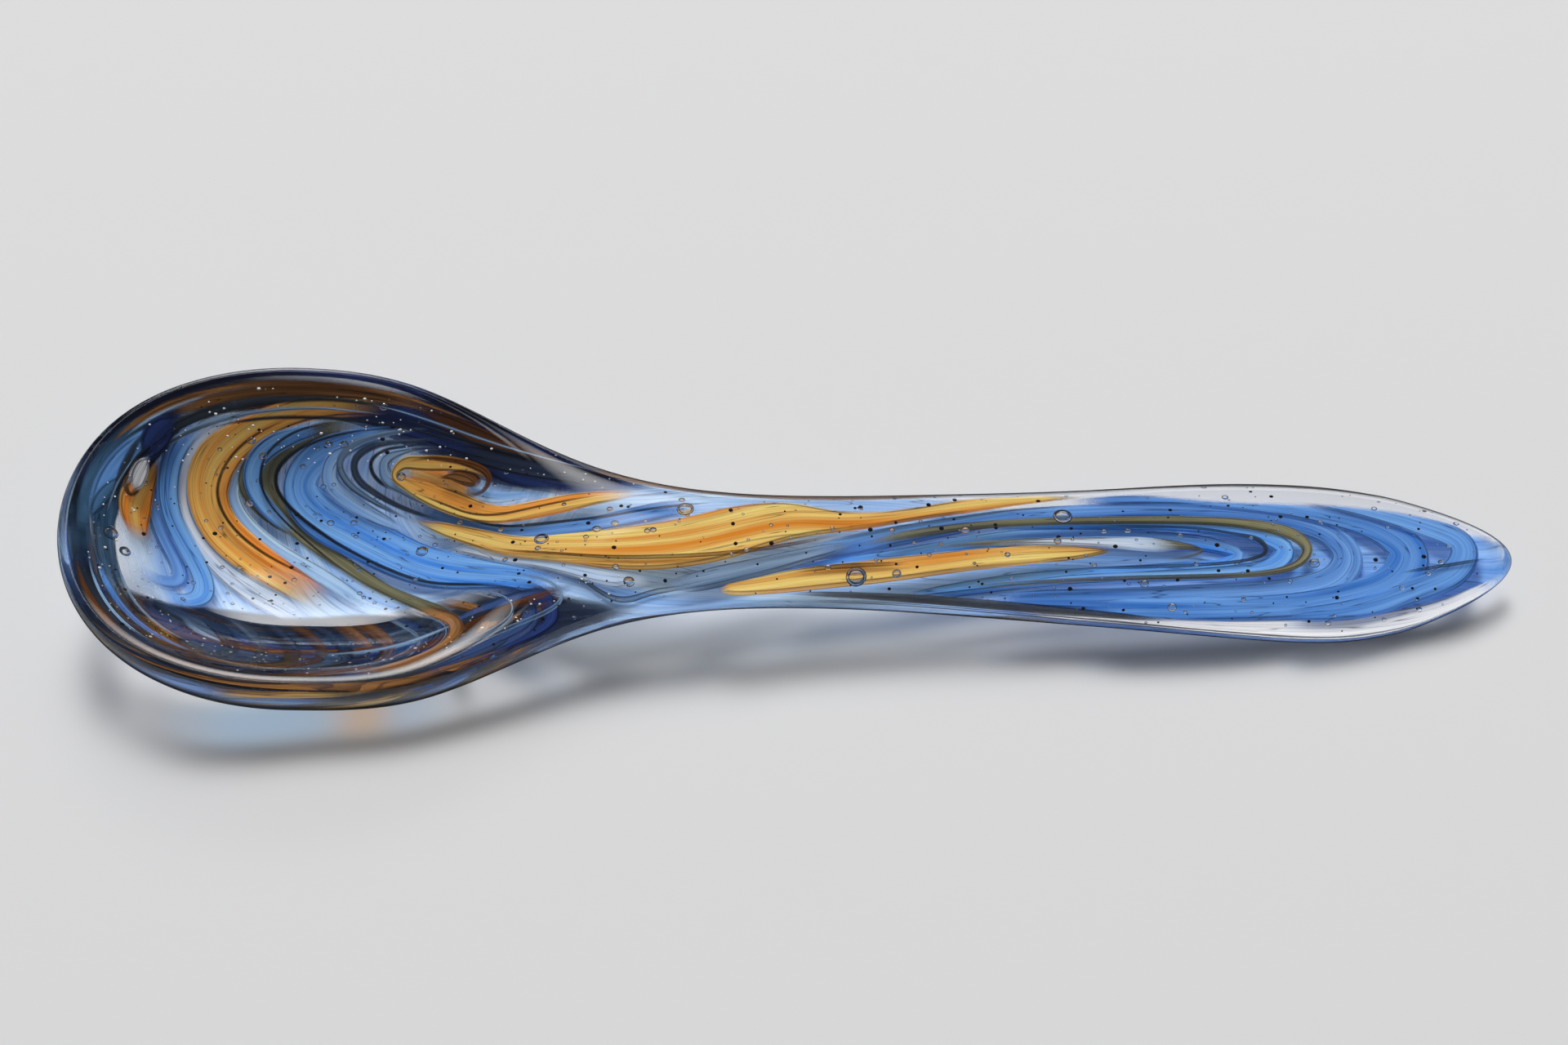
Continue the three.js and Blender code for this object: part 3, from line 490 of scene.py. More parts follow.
LOOKS = {                     # canes painted darker for the shade of the wall, or lighter elsewhere
    "toe_slate": "tide", "near_blue": "night", "near_slate": "shale", "near_amber": "bark",
    "amber_crescent": "honey", "amber_hook": "honey", "toe_amber": "honey", "hook_fill": "honey",
    "blue_field": "azure", "blue_return": "azure", "blue_inset": "azure", "handle_blue": "azure",
    "hairpin_blue": "azure", "arc_mid": "shale",
}


def kind_slot(kind):
    return SLOTS.get(kind, kind + "_glass")


def linear(channel):
    share = channel / 255
    return share / 12.92 if share <= 0.04045 else ((share + 0.055) / 1.055)**2.4


def empty_tree(owner):
    """The cleared node tree of a material, lamp or world."""
    owner.use_nodes = True
    owner.node_tree.nodes.clear()
    return owner.node_tree


def new_material(name):
    material = bpy.data.materials.new(name)
    return material, empty_tree(material)


def node(tree, kind, inputs=None, **settings):
    """A new node, each of its inputs linked to another node's output or set to a constant."""
    made = tree.nodes.new(kind)
    for key, value in settings.items():
        setattr(made, key, value)
    for key, value in (inputs or {}).items():
        if isinstance(value, bpy.types.NodeSocket):
            tree.links.new(value, made.inputs[key])
        else:
            made.inputs[key].default_value = value
    return made


def surface(tree, shader, output="ShaderNodeOutputMaterial"):
    node(tree, output, {"Surface": shader.outputs[0]})


def attribute(tree, name, output="Fac"):
    return node(tree, "ShaderNodeAttribute", attribute_name=name).outputs[output]


def light_path(tree, ray):
    return node(tree, "ShaderNodeLightPath").outputs[ray]


def facing(tree):
    """0 where a surface is seen square on, 1 at its outline."""
    return node(tree, "ShaderNodeLayerWeight").outputs["Facing"]


def noise(tree, vector, waves, detail):
    """A noise drawn out along the cane."""
    stretch = node(tree, "ShaderNodeMapping", {"Scale": (*waves, 1), "Vector": vector})
    inputs = {"Scale": 1, "Detail": detail, "Vector": stretch.outputs["Vector"]}
    return node(tree, "ShaderNodeTexNoise", inputs, noise_dimensions="2D").outputs["Fac"]


def ramp(tree, factor, places, colours):
    made = node(tree, "ShaderNodeValToRGB", {"Fac": factor})
    elements = made.color_ramp.elements
    while len(elements) < len(places):
        elements.new(1)
    for element, position, colour in zip(elements, places, colours):
        element.position = position
        element.color = (*colour, 1)
    return made.outputs["Color"]


def mix(tree, way, factor, first, second):
    """A colour between two colours; a mix node's colour sockets are told apart by number."""
    inputs = {0: factor, 6: first, 7: second}
    return node(tree, "ShaderNodeMix", inputs, data_type="RGBA", blend_type=way).outputs[2]


def arithmetic(tree, operation, first, second):
    return node(tree, "ShaderNodeMath", {0: first, 1: second}, operation=operation).outputs["Value"]


def blend(tree, factor, first, second):
    """A shader between two shaders."""
    return node(tree, "ShaderNodeMixShader", {0: factor, 1: first.outputs[0], 2: second.outputs[0]})


def distance(tree, vector, middle=(0, 0, 0)):
    """How far a place lies from the middle."""
    away = node(tree, "ShaderNodeVectorMath", {0: vector, 1: middle}, operation="DISTANCE")
    return away.outputs["Value"]


def albedo(shade):
    """The colour of a cane that looks like this shade once it lies in the glass."""
    lit = np.array([linear(channel) for channel in shade]) / LIT_SHARE
    return np.clip(lit, LEAST_ALBEDO, MOST_ALBEDO)


def streaks(tree, dark, light):
    """The colour of a cane: drawn-out streaks, fine lines, dark threads and darker borders."""
    flow = node(tree, "ShaderNodeUVMap", uv_map="flow").outputs["UV"]
    tone = ramp(tree, noise(tree, flow, BROAD_WAVES, 2), BROAD_STOPS, (albedo(dark), albedo(light)))
    fine = ramp(tree, noise(tree, flow, FINE_WAVES, 2), FINE_STOPS, (FINE_SHADE, WHITE))
    tone = mix(tree, "MULTIPLY", 1.0, tone, fine)
    for waves in THREAD_WAVES:
        thread = ramp(tree, noise(tree, flow, waves, 1), THREAD_STOPS, (WHITE, THREAD_SHADE, WHITE))
        tone = mix(tree, "MULTIPLY", 1.0, tone, thread)
    border = ramp(tree, attribute(tree, "inset"), BORDER_PLACES, (WHITE, BORDER_SHADE, WHITE))
    bordered = ramp(tree, noise(tree, flow, BORDER_WAVES, 0), BORDER_STOPS, (BLACK, WHITE))
    return mix(tree, "MULTIPLY", bordered, tone, border)


def cane_material(kind):
    """Milky coloured glass: it scatters most light back, and its shadow is thin."""
    name = kind + "_cane"
    if name in bpy.data.materials:
        return bpy.data.materials[name]
    material, tree = new_material(name)
    dark, light, milkiness = KINDS[kind]
    tone = streaks(tree, dark, light)
    shadow = light_path(tree, "Is Shadow Ray")
    tint = mix(tree, "MIX", SHADOW_TINT, (*WHITE, 1), (*albedo(light), 1))
    tint = mix(tree, "MIX", shadow, (*WHITE, 1), tint)
    back = node(tree, "ShaderNodeBsdfDiffuse", {"Color": tone})
    through = node(tree, "ShaderNodeBsdfTranslucent", {"Color": tone})
    clear = node(tree, "ShaderNodeBsdfTransparent", {"Color": tint})
    leak = arithmetic(tree, "MULTIPLY", shadow, SHADOW_LEAK)
    share = arithmetic(tree, "MULTIPLY", attribute(tree, "cover"), milkiness)
    share = arithmetic(tree, "MULTIPLY", share, arithmetic(tree, "SUBTRACT", 1.0, leak))
    surface(tree, blend(tree, share, clear, blend(tree, THROUGH_SHARE, back, through)))
    return material


def casing_material():
    """Clear glass, which bends the light seen through it and lets the painted share of light pass."""
    material, tree = new_material("casing_glass")
    # painted shade: the clear glass darkens towards its outline
    contour = ramp(tree, facing(tree), CONTOUR_SLANT, (WHITE, CONTOUR_SHADE))
    glass = node(tree, "ShaderNodeBsdfGlass", {"Roughness": 0, "IOR": GLASS_IOR, "Color": contour})
    clear = node(tree, "ShaderNodeBsdfTransparent", {"Color": attribute(tree, "light", "Color")})
    lit = arithmetic(tree, "MAXIMUM", light_path(tree, "Is Shadow Ray"), light_path(tree, "Is Diffuse Ray"))
    surface(tree, blend(tree, lit, glass, clear))
    return material


def bubble_material():
    """Air in the glass, with a painted dark ring on its steep sides."""
    material, tree = new_material("bubble_air")
    air = node(tree, "ShaderNodeBsdfGlass", {"Roughness": 0, "IOR": 1 / GLASS_IOR})
    ring = node(tree, "ShaderNodeBsdfDiffuse", {"Color": (*RING_SHADE, 1)})
    surface(tree, blend(tree, ramp(tree, facing(tree), RING_SLANT, (BLACK, RING_COVER)), air, ring))
    return material


def speck_material(name, colour):
    material, tree = new_material(name)
    surface(tree, node(tree, "ShaderNodeBsdfDiffuse", {"Color": (*colour, 1)}))
    return material


# Canes in the glass: name, colour, layer from the lowest, and knots of (station, across, half width)
CANES = (
    # Bowl, from the toe inwards
    ("toe_slate", "slate", 2, (
        (6.2, 13.4, 0.25), (5.1, 10.8, 0.5), (4.1, 7, 0.7), (3.7, 2.5, 0.75), (4.2, -2, 0.75),
        (5.5, -6, 0.65), (7.6, -9.4, 0.35),
    )),
    ("toe_navy", "navy", 4, (
        (13, 20, 0.3), (11.4, 18.7, 0.55), (9.8, 16.9, 0.72), (8.4, 14.9, 0.68), (7.3, 13.1, 0.52),
        (6.5, 11.6, 0.25),
    )),
    ("toe_loop", "rust", 3, (
        (8.9, 16.8, 0.13), (7.5, 14.9, 0.18), (6.5, 12.9, 0.2), (5.9, 10.9, 0.22), (5.7, 9.3, 0.22),
        (6.1, 8.7, 0.22), (6.7, 9.3, 0.22), (7.4, 11, 0.2), (8.4, 13.2, 0.18), (9.6, 15.6, 0.16),
        (11.2, 18, 0.13),
    )),
    ("toe_amber", "amber", 2, (
        (9.6, 15.4, 0.3), (8.6, 12.8, 0.55), (7.7, 10.4, 0.9), (7, 8.2, 1.3), (6.8, 6.2, 1.2),
        (7.1, 4.6, 0.9), (7.5, 3.2, 0.5),
    )),
    ("toe_blue", "deep", 1, (
        (11.2, 17, 0.3), (9.6, 14, 0.45), (9, 11.6, 0.5), (9.1, 9.2, 0.55), (9.8, 6.8, 0.75),
        (10.8, 4.8, 0.85), (11.7, 3, 0.75), (12.3, 1.3, 0.6), (12.2, -0.2, 0.55), (11, -1.3, 0.6),
        (9.2, -1.4, 0.6), (7.6, -0.5, 0.4),
    )),
    ("blue_return", "blue", 3, (
        (16, 20.3, 0.4), (13, 18, 0.6), (11.3, 15.5, 0.75), (10.6, 13, 0.85), (10.5, 10.4, 0.95),
        (11.1, 8, 1.05), (12.3, 5.8, 1.1), (13.6, 3.6, 1.1), (14.7, 1.4, 1.1), (15.3, -0.8, 1.1),
        (15.1, -2.8, 1.1), (13.7, -4.3, 1), (11.6, -4.9, 0.9), (9.4, -4.5, 0.5),
    )),
    ("pale_band", "pale", 1, (
        (20, 21.6, 0.35), (16, 19.5, 0.55), (13.6, 17, 0.6), (12.5, 14.5, 0.55), (12.2, 12, 0.55),
        (12.6, 9.7, 0.65), (13.6, 7.6, 0.75), (15.4, 5.3, 0.85), (17.7, 3, 1), (20.3, 0.8, 1.2),
        (23, -1.3, 1.3), (26, -3.6, 1.3), (29, -6.2, 1),
    )),
    ("amber_crescent", "amber", 2, (
        (40, 22.2, 0.25), (35, 22.7, 0.5), (29.5, 22.6, 0.65), (25.5, 21.8, 0.75), (22, 20.5, 0.95),
        (18.8, 18.5, 1.4), (16.4, 16, 1.95), (15.5, 13.3, 2.15), (15.9, 11, 2.2), (17.2, 8.8, 2.25),
        (19.4, 6.7, 2.25), (22.2, 4.5, 2.1), (25.2, 2.2, 1.9), (28.4, -0.4, 1.7), (31.6, -3.3, 1.3),
    )),
    ("crescent_line", "umber", 4, (
        (27, 22, 0.12), (22, 20.1, 0.14), (18.6, 17.6, 0.16), (16.9, 15, 0.18), (16.5, 12.8, 0.2),
        (17.2, 10.8, 0.2), (18.8, 8.7, 0.2), (21.4, 6.4, 0.2), (24.3, 4.3, 0.18), (27.6, 2.1, 0.15),
        (30.4, -0.1, 0.1),
    )),
    ("sky_band", "sky", 1, (
        (26, 20.6, 0.35), (21.9, 18.4, 0.55), (19.6, 16, 0.6), (18.7, 13.9, 0.55), (19.1, 12.1, 0.55),
        (20.4, 10.2, 0.6), (22.4, 8.2, 0.7), (25, 6.1, 0.75), (28, 3.9, 0.8), (31.2, 1.4, 0.85),
        (34.4, -1.5, 0.75), (37.2, -4.4, 0.5),
    )),
    ("olive_thread", "olive", 2, (
        (24.2, 20, 0.12), (21.5, 18.3, 0.2), (19.9, 16.2, 0.28), (19.8, 14.4, 0.32), (21, 12.7, 0.34),
        (23, 11, 0.34), (25.2, 9.5, 0.3), (27.4, 8.1, 0.2),
    )),
    ("blue_inset", "blue", 3, (
        (31, 20.9, 0.3), (26.8, 20.1, 0.45), (23.4, 18.8, 0.65), (21.5, 17, 0.75), (21.1, 15.2, 0.75),
        (21.9, 13.4, 0.72), (23.4, 11.7, 0.65), (25.3, 10, 0.45), (27, 8.6, 0.2),
    )),
    ("olive_sweep", "olive", 1, (
        (36, 21.2, 0.25), (31, 20.7, 0.4), (27.6, 19.8, 0.5), (25, 18.4, 0.65), (23.4, 16.8, 0.75),
        (23.1, 15.2, 0.78), (23.7, 13.5, 0.8), (25.1, 11.7, 0.85), (27, 9.8, 0.85), (29.1, 7.8, 0.8),
        (31.3, 5.8, 0.7), (33.8, 3.7, 0.6), (36.4, 1.5, 0.55), (39, -0.6, 0.5), (41.5, -2.5, 0.55),
        (44, -4.6, 0.6), (46, -6.7, 0.65), (47.6, -9.3, 0.6), (48.6, -12.4, 0.4),
    )),
    ("sweep_line_a", "ink", 4, (
        (33, 21.5, 0.1), (27.2, 20.6, 0.14), (24.1, 19.1, 0.16), (22.4, 17.1, 0.17), (22.2, 15.2, 0.17),
        (22.8, 13.4, 0.17), (24.3, 11.4, 0.17), (26.3, 9.3, 0.17), (28.3, 7.3, 0.16), (30.4, 5.1, 0.15),
        (32.7, 2.9, 0.14), (35.2, 0.6, 0.1),
    )),
    ("sweep_line_b", "ink", 3, (
        (38, 20.7, 0.1), (32, 20.2, 0.14), (28.2, 19.2, 0.17), (25.3, 17.7, 0.2), (24.2, 16.1, 0.22),
        (24.2, 14.8, 0.22), (25.2, 13.1, 0.22), (27.1, 11.2, 0.22), (29.2, 9.4, 0.22), (31.4, 7.6, 0.21),
        (34, 5.7, 0.2), (36.8, 3.8, 0.2), (39.6, 2, 0.2), (42.6, 0.2, 0.2), (46, -1.6, 0.2),
        (49.6, -3.3, 0.2), (53, -5.1, 0.17), (56.4, -7.4, 0.1),
    )),
    ("blue_field", "blue", 2, (
        (41, 20.4, 0.25), (36, 19.9, 0.5), (31.6, 18.9, 0.95), (28.5, 17.2, 1.5), (27.3, 14.8, 1.9),
        (28.7, 12.3, 2.4), (32.1, 9.8, 2.8), (36, 7.4, 2.9), (39.5, 5, 2.8), (43, 2.7, 2.65),
        (46.8, 0.4, 2.45), (50.6, -1.8, 2.15), (54.4, -3.9, 1.75), (58, -5.7, 1.3), (61.2, -7, 0.8),
    )),
    ("field_light", "sky", 3, (
        (36.4, 19.4, 0.2), (33.2, 18.6, 0.4), (31.3, 17.2, 0.65), (31.1, 15.5, 0.75), (32.8, 13.5, 0.75),
        (35.5, 11.6, 0.7), (38.6, 9.7, 0.5), (41.4, 8, 0.25),
    )),
    ("arc_outer", "steel", 4, (
        (45, 19.8, 0.12), (40, 20.2, 0.2), (36, 19.8, 0.26), (33.4, 18.8, 0.3), (32.4, 17.3, 0.32),
        (33.1, 15.5, 0.32), (35, 13.8, 0.3), (37.6, 12.1, 0.26), (40.4, 10.4, 0.2), (43, 8.8, 0.12),
    )),
    ("arc_mid", "ink", 4, (
        (47, 18.4, 0.12), (42.5, 19, 0.18), (38.8, 19.2, 0.24), (35.8, 18.7, 0.3), (34.3, 17.4, 0.32),
        (34.5, 15.9, 0.32), (36.2, 14.2, 0.3), (38.8, 12.5, 0.27), (41.6, 10.9, 0.24), (44.6, 9.3, 0.2),
        (47.6, 7.6, 0.12),
    )),
    ("arc_inner", "ink", 1, (
        (44, 18.2, 0.1), (40.2, 18.6, 0.14), (37.5, 18.3, 0.18), (36.3, 17.3, 0.22), (36.6, 16.1, 0.22),
        (38.2, 14.7, 0.2), (40.2, 13.5, 0.12),
    )),
    ("hook_halo", "sky", 2, (
        (46, 17.5, 0.15), (42.6, 18.1, 0.22), (39.8, 18, 0.3), (38.1, 17.2, 0.42), (38.2, 16.1, 0.5),
        (39.9, 14.7, 0.55), (42.4, 13.1, 0.5), (45.2, 11.4, 0.42), (48.2, 9.3, 0.34), (51, 7.2, 0.28),
        (53.8, 5.2, 0.2),
    )),
    ("deep_band", "deep", 1, (
        (41.2, 12, 0.3), (43.4, 10.6, 0.75), (46, 9, 1.05), (48.9, 7.2, 1.1), (51.8, 5.3, 1),
        (54.8, 3.7, 0.9), (58.2, 2.9, 0.85), (62, 2.7, 0.85), (66, 3.1, 0.85), (70, 3.9, 0.8),
        (74, 4.6, 0.65), (78, 4.9, 0.35),
    )),
    ("deep_line", "ink", 4, (
        (47, 9.2, 0.1), (50.4, 7, 0.15), (53.8, 4.8, 0.17), (57.6, 3.6, 0.17), (62, 3.1, 0.17),
        (66.4, 3.2, 0.16), (71, 3.9, 0.14), (76, 4.4, 0.12), (81, 4.6, 0.08),
    )),
    ("amber_hook", "amber", 3, (
        (51.9, 11.6, 0.25), (51.5, 12.9, 0.4), (49.9, 14.2, 0.55), (47.6, 15.3, 0.65), (45, 16.1, 0.75),
        (42.3, 16.7, 0.7), (40.2, 16.6, 0.54), (39.5, 15.7, 0.42), (40.5, 14.8, 0.56), (42.5, 13.7, 0.9),
        (44.8, 12.4, 1.2), (47.2, 10.9, 1.35), (49.6, 9.2, 1.3), (52, 7.6, 1.2), (54.6, 6.5, 1.2),
        (57.6, 6.1, 1.3), (61, 6.1, 1.25), (64.4, 6.3, 0.95), (67.8, 6.4, 0.6), (71, 6.4, 0.3),
    )),
    ("eye_umber", "umber", 4, (
        (46.6, 14.6, 0.15), (47.9, 14, 0.4), (49.4, 13.2, 0.5), (50.7, 12.2, 0.4), (51.2, 11.4, 0.15),
    )),
    ("eye_blue", "sky", 2, (
        (48.6, 12.9, 0.2), (49.6, 11.7, 0.35), (51.2, 10.5, 0.42), (53.2, 9.5, 0.42), (55.6, 8.9, 0.38),
        (58.2, 8.6, 0.25),
    )),
    ("wall_navy", "navy", 1, (
        (40, 21.4, 0.3), (44, 20.2, 0.65), (47.2, 18.6, 0.95), (50, 16.7, 1.15), (52.6, 14.6, 1.25),
        (55.2, 12.4, 1.15), (58, 10.7, 0.85), (61, 9.6, 0.4),
    )),
    # Near wall of the bowl
    ("near_blue", "deep", 4, (
        (8, -8.4, 0.6), (12, -12.2, 1.1), (18, -15.6, 1.4), (25, -17.5, 1.5), (32, -18, 1.5),
        (39, -17.2, 1.4), (45, -14.8, 1.2), (50.5, -11.6, 1), (56, -9.4, 0.7), (61, -8.7, 0.4),
    )),
    ("near_amber", "rust", 2, (
        (9, -13, 0.4), (14, -17.4, 0.7), (20.5, -20.3, 0.9), (27, -21.6, 1), (33.5, -21.6, 1),
        (40, -20.2, 0.9), (45.6, -17.4, 0.7), (50, -14.2, 0.4),
    )),
    ("near_slate", "slate", 3, (
        (12, -7.6, 0.4), (17, -10.6, 0.8), (23, -12.6, 1.1), (29.5, -13.6, 1.2), (36, -13.2, 1.1),
        (41.5, -11.4, 0.8), (45.5, -9, 0.4),
    )),
    # Neck
    ("amber_neck", "amber", 3, (
        (41.2, 10.2, 0.15), (43.6, 8.9, 0.3), (46.2, 7.4, 0.5), (48.8, 5.7, 0.7), (51.4, 3.9, 0.9),
        (54, 2, 1.05), (57, 0.3, 1.3), (60.6, -0.8, 1.8), (64.6, -1.3, 2.2), (69, -1.1, 2.45),
        (73.4, -0.5, 2.5), (77.6, 0.4, 2.5), (81.6, 1.4, 2.4), (85.6, 2.3, 2), (89.6, 2.8, 1.5),
        (93.6, 2.8, 0.9), (97.8, 2.9, 0.55), (102, 3.4, 0.45), (106.4, 4.2, 0.45), (111, 5.1, 0.5),
        (116, 6, 0.42), (121.4, 6.8, 0.3), (127, 7.4, 0.15),
    )),
    ("neck_line", "umber", 4, (
        (52, 2.3, 0.1), (55, 0.3, 0.13), (58.2, -1.2, 0.15), (61.6, -2.3, 0.17), (65, -2.9, 0.18),
        (69, -2.9, 0.18), (73.4, -2.5, 0.17), (77.8, -2, 0.16), (82.2, -1.4, 0.15), (86.6, -0.7, 0.14),
        (91, 0.1, 0.12), (95.6, 1, 0.1),
    )),
    ("neck_pale", "pale", 2, (
        (46.6, 4.9, 0.35), (50, 3, 0.5), (53, 0.9, 0.5), (56, -1.2, 0.5), (59.4, -2.9, 0.55),
        (63, -4.2, 0.65), (66.4, -4.8, 0.65), (69.6, -4.7, 0.55), (72.4, -4.3, 0.3),
    )),
    ("neck_v_line", "ink", 1, (
        (47, 3.6, 0.08), (50.6, 2.4, 0.12), (53.6, 0.4, 0.14), (56.6, -1.6, 0.16), (60, -3.4, 0.17),
        (63.2, -5, 0.18), (66, -6.5, 0.18), (68.2, -6.7, 0.17), (71, -5.7, 0.15), (75, -4.6, 0.12),
        (79, -3.6, 0.1),
    )),
    ("neck_slate", "slate", 2, (
        (72.6, -5.9, 0.3), (75.4, -5, 0.65), (78.4, -4.1, 0.82), (82, -3, 0.75), (86, -1.9, 0.62),
        (90, -0.9, 0.5), (94, 0, 0.4), (98, 0.8, 0.25),
    )),
    # Handle
    ("amber_tongue", "amber", 3, (
        (80, -6.5, 0.3), (83.6, -5.9, 0.75), (87.6, -5, 1.05), (91.8, -4.2, 1.1), (96.4, -3.6, 1.05),
        (101.4, -3, 1), (106.4, -2.4, 0.9), (111.4, -1.8, 0.85), (116.4, -1.3, 0.78), (121.4, -0.9, 0.65),
        (125.6, -0.7, 0.42), (129.2, -0.5, 0.12),
    )),
    ("tongue_streak", "umber", 4, (
        (88.6, -4, 0.08), (92, -3.5, 0.16), (96, -3.1, 0.2), (100, -2.9, 0.16), (104, -2.7, 0.08),
    )),
    ("handle_crest", "deep", 1, (
        (88, -0.9, 0.25), (92, 0, 0.55), (96, 0.7, 0.8), (100.6, 1.5, 0.85), (105.4, 2.3, 0.85),
        (110.4, 3.2, 0.8), (115.8, 4.2, 0.75), (121.6, 5, 0.75), (128, 5.6, 0.8), (135, 6, 0.95),
        (142, 6, 1.1), (148.4, 5.6, 1.3), (153.6, 4.7, 1.5), (157.3, 3, 1.7), (158.9, 0.2, 1.8),
        (157.3, -2.7, 1.7), (153.6, -4.3, 1.55), (148.4, -5.2, 1.45), (141.6, -5.7, 1.4),
        (134.4, -5.9, 1.3), (127, -5.9, 1.15), (119.6, -5.8, 0.9), (112.6, -5.9, 0.5),
    )),
    ("hairpin_olive", "olive", 3, (
        (97, -0.2, 0.2), (103, 1, 0.3), (109, 2, 0.32), (115, 2.8, 0.32), (122, 3.4, 0.32),
        (130, 3.8, 0.34), (138, 4, 0.36), (145, 3.9, 0.42), (149.6, 3.3, 0.5), (152.6, 2.1, 0.52),
        (153.7, 0.4, 0.44), (152.8, -1.4, 0.34), (150.2, -2.8, 0.28), (146, -3.6, 0.24), (140, -4, 0.22),
        (132, -4.2, 0.2), (124, -4.5, 0.18), (116, -5, 0.15), (109, -5.5, 0.1),
    )),
    ("hairpin_blue", "deep", 2, (
        (113, 2.2, 0.15), (121, 2.8, 0.24), (130, 3.2, 0.32), (138, 3.3, 0.42), (144.6, 2.9, 0.62),
        (149, 1.9, 0.85), (150.9, 0.3, 0.95), (149.8, -1.4, 0.82), (146.2, -2.6, 0.58), (140, -3.3, 0.46),
        (132, -3.6, 0.38), (124, -3.9, 0.32), (117, -4.3, 0.2),
    )),
    ("hairpin_line", "ink", 4, (
        (126, 2.9, 0.08), (135, 2.9, 0.12), (141.6, 2.6, 0.16), (145.8, 1.9, 0.2), (148.1, 0.9, 0.24),
        (148.4, -0.2, 0.22), (147, -1.3, 0.19), (143.8, -2.1, 0.17), (138.6, -2.6, 0.15), (132, -2.9, 0.12),
        (125, -3.1, 0.08),
    )),
    ("handle_blue", "blue", 1, (
        (85, -3.3, 0.25), (89, -2.3, 0.5), (93, -1.6, 0.55), (97.4, -1, 0.6), (102, -0.5, 0.65),
        (107, 0.2, 0.7), (112.4, 1.1, 0.7), (118.4, 1.9, 0.72), (125, 2.2, 0.75), (132, 2.2, 0.75),
        (138.4, 1.8, 0.72), (143, 1.1, 0.6), (145.1, 0, 0.44), (143.6, -1.2, 0.52), (139.4, -1.9, 0.58),
        (133.4, -2.3, 0.55), (126.6, -2.6, 0.52), (119.8, -3, 0.5), (113, -3.6, 0.45), (106.6, -4.4, 0.35),
        (101, -5.1, 0.2),
    )),
    ("core_olive", "olive", 2, (
        (106, 0.2, 0.12), (112, 0.7, 0.2), (118.6, 1.1, 0.26), (125.2, 1.3, 0.3), (131.8, 1.2, 0.34),
        (137.4, 0.9, 0.34), (140.5, 0.1, 0.16), (138.6, -0.7, 0.18), (135, -1.1, 0.12),
    )),
    ("core_pale", "pale", 4, (
        (113, -0.3, 0.12), (119, 0.2, 0.25), (125, 0.4, 0.36), (131, 0.3, 0.5), (135.4, 0, 0.5),
        (138, -0.3, 0.2),
    )),
    ("blade_blue", "blue", 2, (
        (124, 6.6, 0.25), (131, 7.2, 0.4), (138.6, 7.5, 0.45), (146, 7.3, 0.6), (153, 6.6, 0.85),
        (159.4, 5.3, 1.25), (164.4, 3.2, 1.8), (166.6, 0.3, 2.2), (165.2, -2.6, 1.95), (160.6, -5, 1.5),
        (154.4, -6.6, 1.3), (147, -7.5, 1.2), (139, -7.8, 1.15), (131.4, -7.7, 0.95), (124.6, -7.4, 0.55),
    )),
    ("tip_blue", "blue", 3, (
        (152, 8.2, 0.25), (159, 7.3, 0.6), (165, 5.6, 0.95), (170, 3.6, 1.25), (173.6, 0.8, 1.4),
        (172.6, -1.9, 1.35), (168.6, -4.3, 1.2), (163, -6.6, 1), (156.6, -8.3, 0.8), (150, -9, 0.4),
    )),
    ("tip_line", "ink", 4, (
        (176.6, -1, 0.1), (173.6, -1.6, 0.15), (169.6, -2.3, 0.15), (165, -3.2, 0.1),
    )),
)

# Canes whose shadow is part of the painted crescent, so they cast none
SHADOWLESS = ("near_blue", "near_amber", "near_slate")

# Broad washes of colour under the canes, given as the canes are
WASHES = (
    ("handle_wash", "haze", 0, (
        (98, 0.3, 3), (104, 0, 4.6), (112, -0.3, 5.4), (121, -0.2, 6.2), (130, -0.5, 7.5), (140, -0.4, 8.6),
        (150, -0.3, 8.7), (156, 0, 8.3), (160, -0.2, 7.6), (164, -0.2, 6.7), (168, -0.4, 6), (172, -0.5, 5),
        (176, -0.4, 3.8), (179.4, -0.2, 2.6),
    )),
    ("neck_wash", "mist", 0, (
        (56, 2, 5), (62, 1, 8), (70, 0, 8), (78, 0, 7.6), (86, 0, 7.1), (94, 0, 6.9), (102, 0, 6.7),
        (110, -0.2, 6.4), (118, -0.2, 5.4), (124, 0, 3),
    )),
    ("bowl_wash", "mist", 0, (
        (3.4, 2, 4.4), (5.6, 2.4, 8.8), (8, 3.4, 10.8), (12, 5.6, 12), (18, 8, 13), (26, 8.5, 14),
        (36, 8, 13.5), (44, 6.5, 11), (52, 4, 9), (60, 0.5, 6.5), (66, -1, 4),
    )),
    ("far_wash", "navy", 0, (
        (1.6, 6, 0.8), (4, 12.5, 1.3), (8, 17.6, 1.5), (14, 21.4, 1.6), (22, 23.2, 1.6), (30, 23.2, 1.8),
        (38, 21.8, 2.2), (46, 18.6, 3), (54, 14.4, 3.4), (60, 11.4, 3), (66, 9.2, 2), (74, 7.8, 0.8),
    )),
    # Painted shade: the dark dusk wash stands partly for the near wall's dark glass and partly for the shade
    # in the steep wall
    ("near_wash", "dusk", 1, (
        (2.4, -6, 1.2), (5, -8.8, 3.8), (10, -11.6, 6.8), (18, -13.4, 9.6), (28, -15, 10), (38, -14.5, 9.6),
        (47, -13.2, 6), (55, -11, 4.2), (63, -9.4, 2), (71, -8, 0.8),
    )),
)

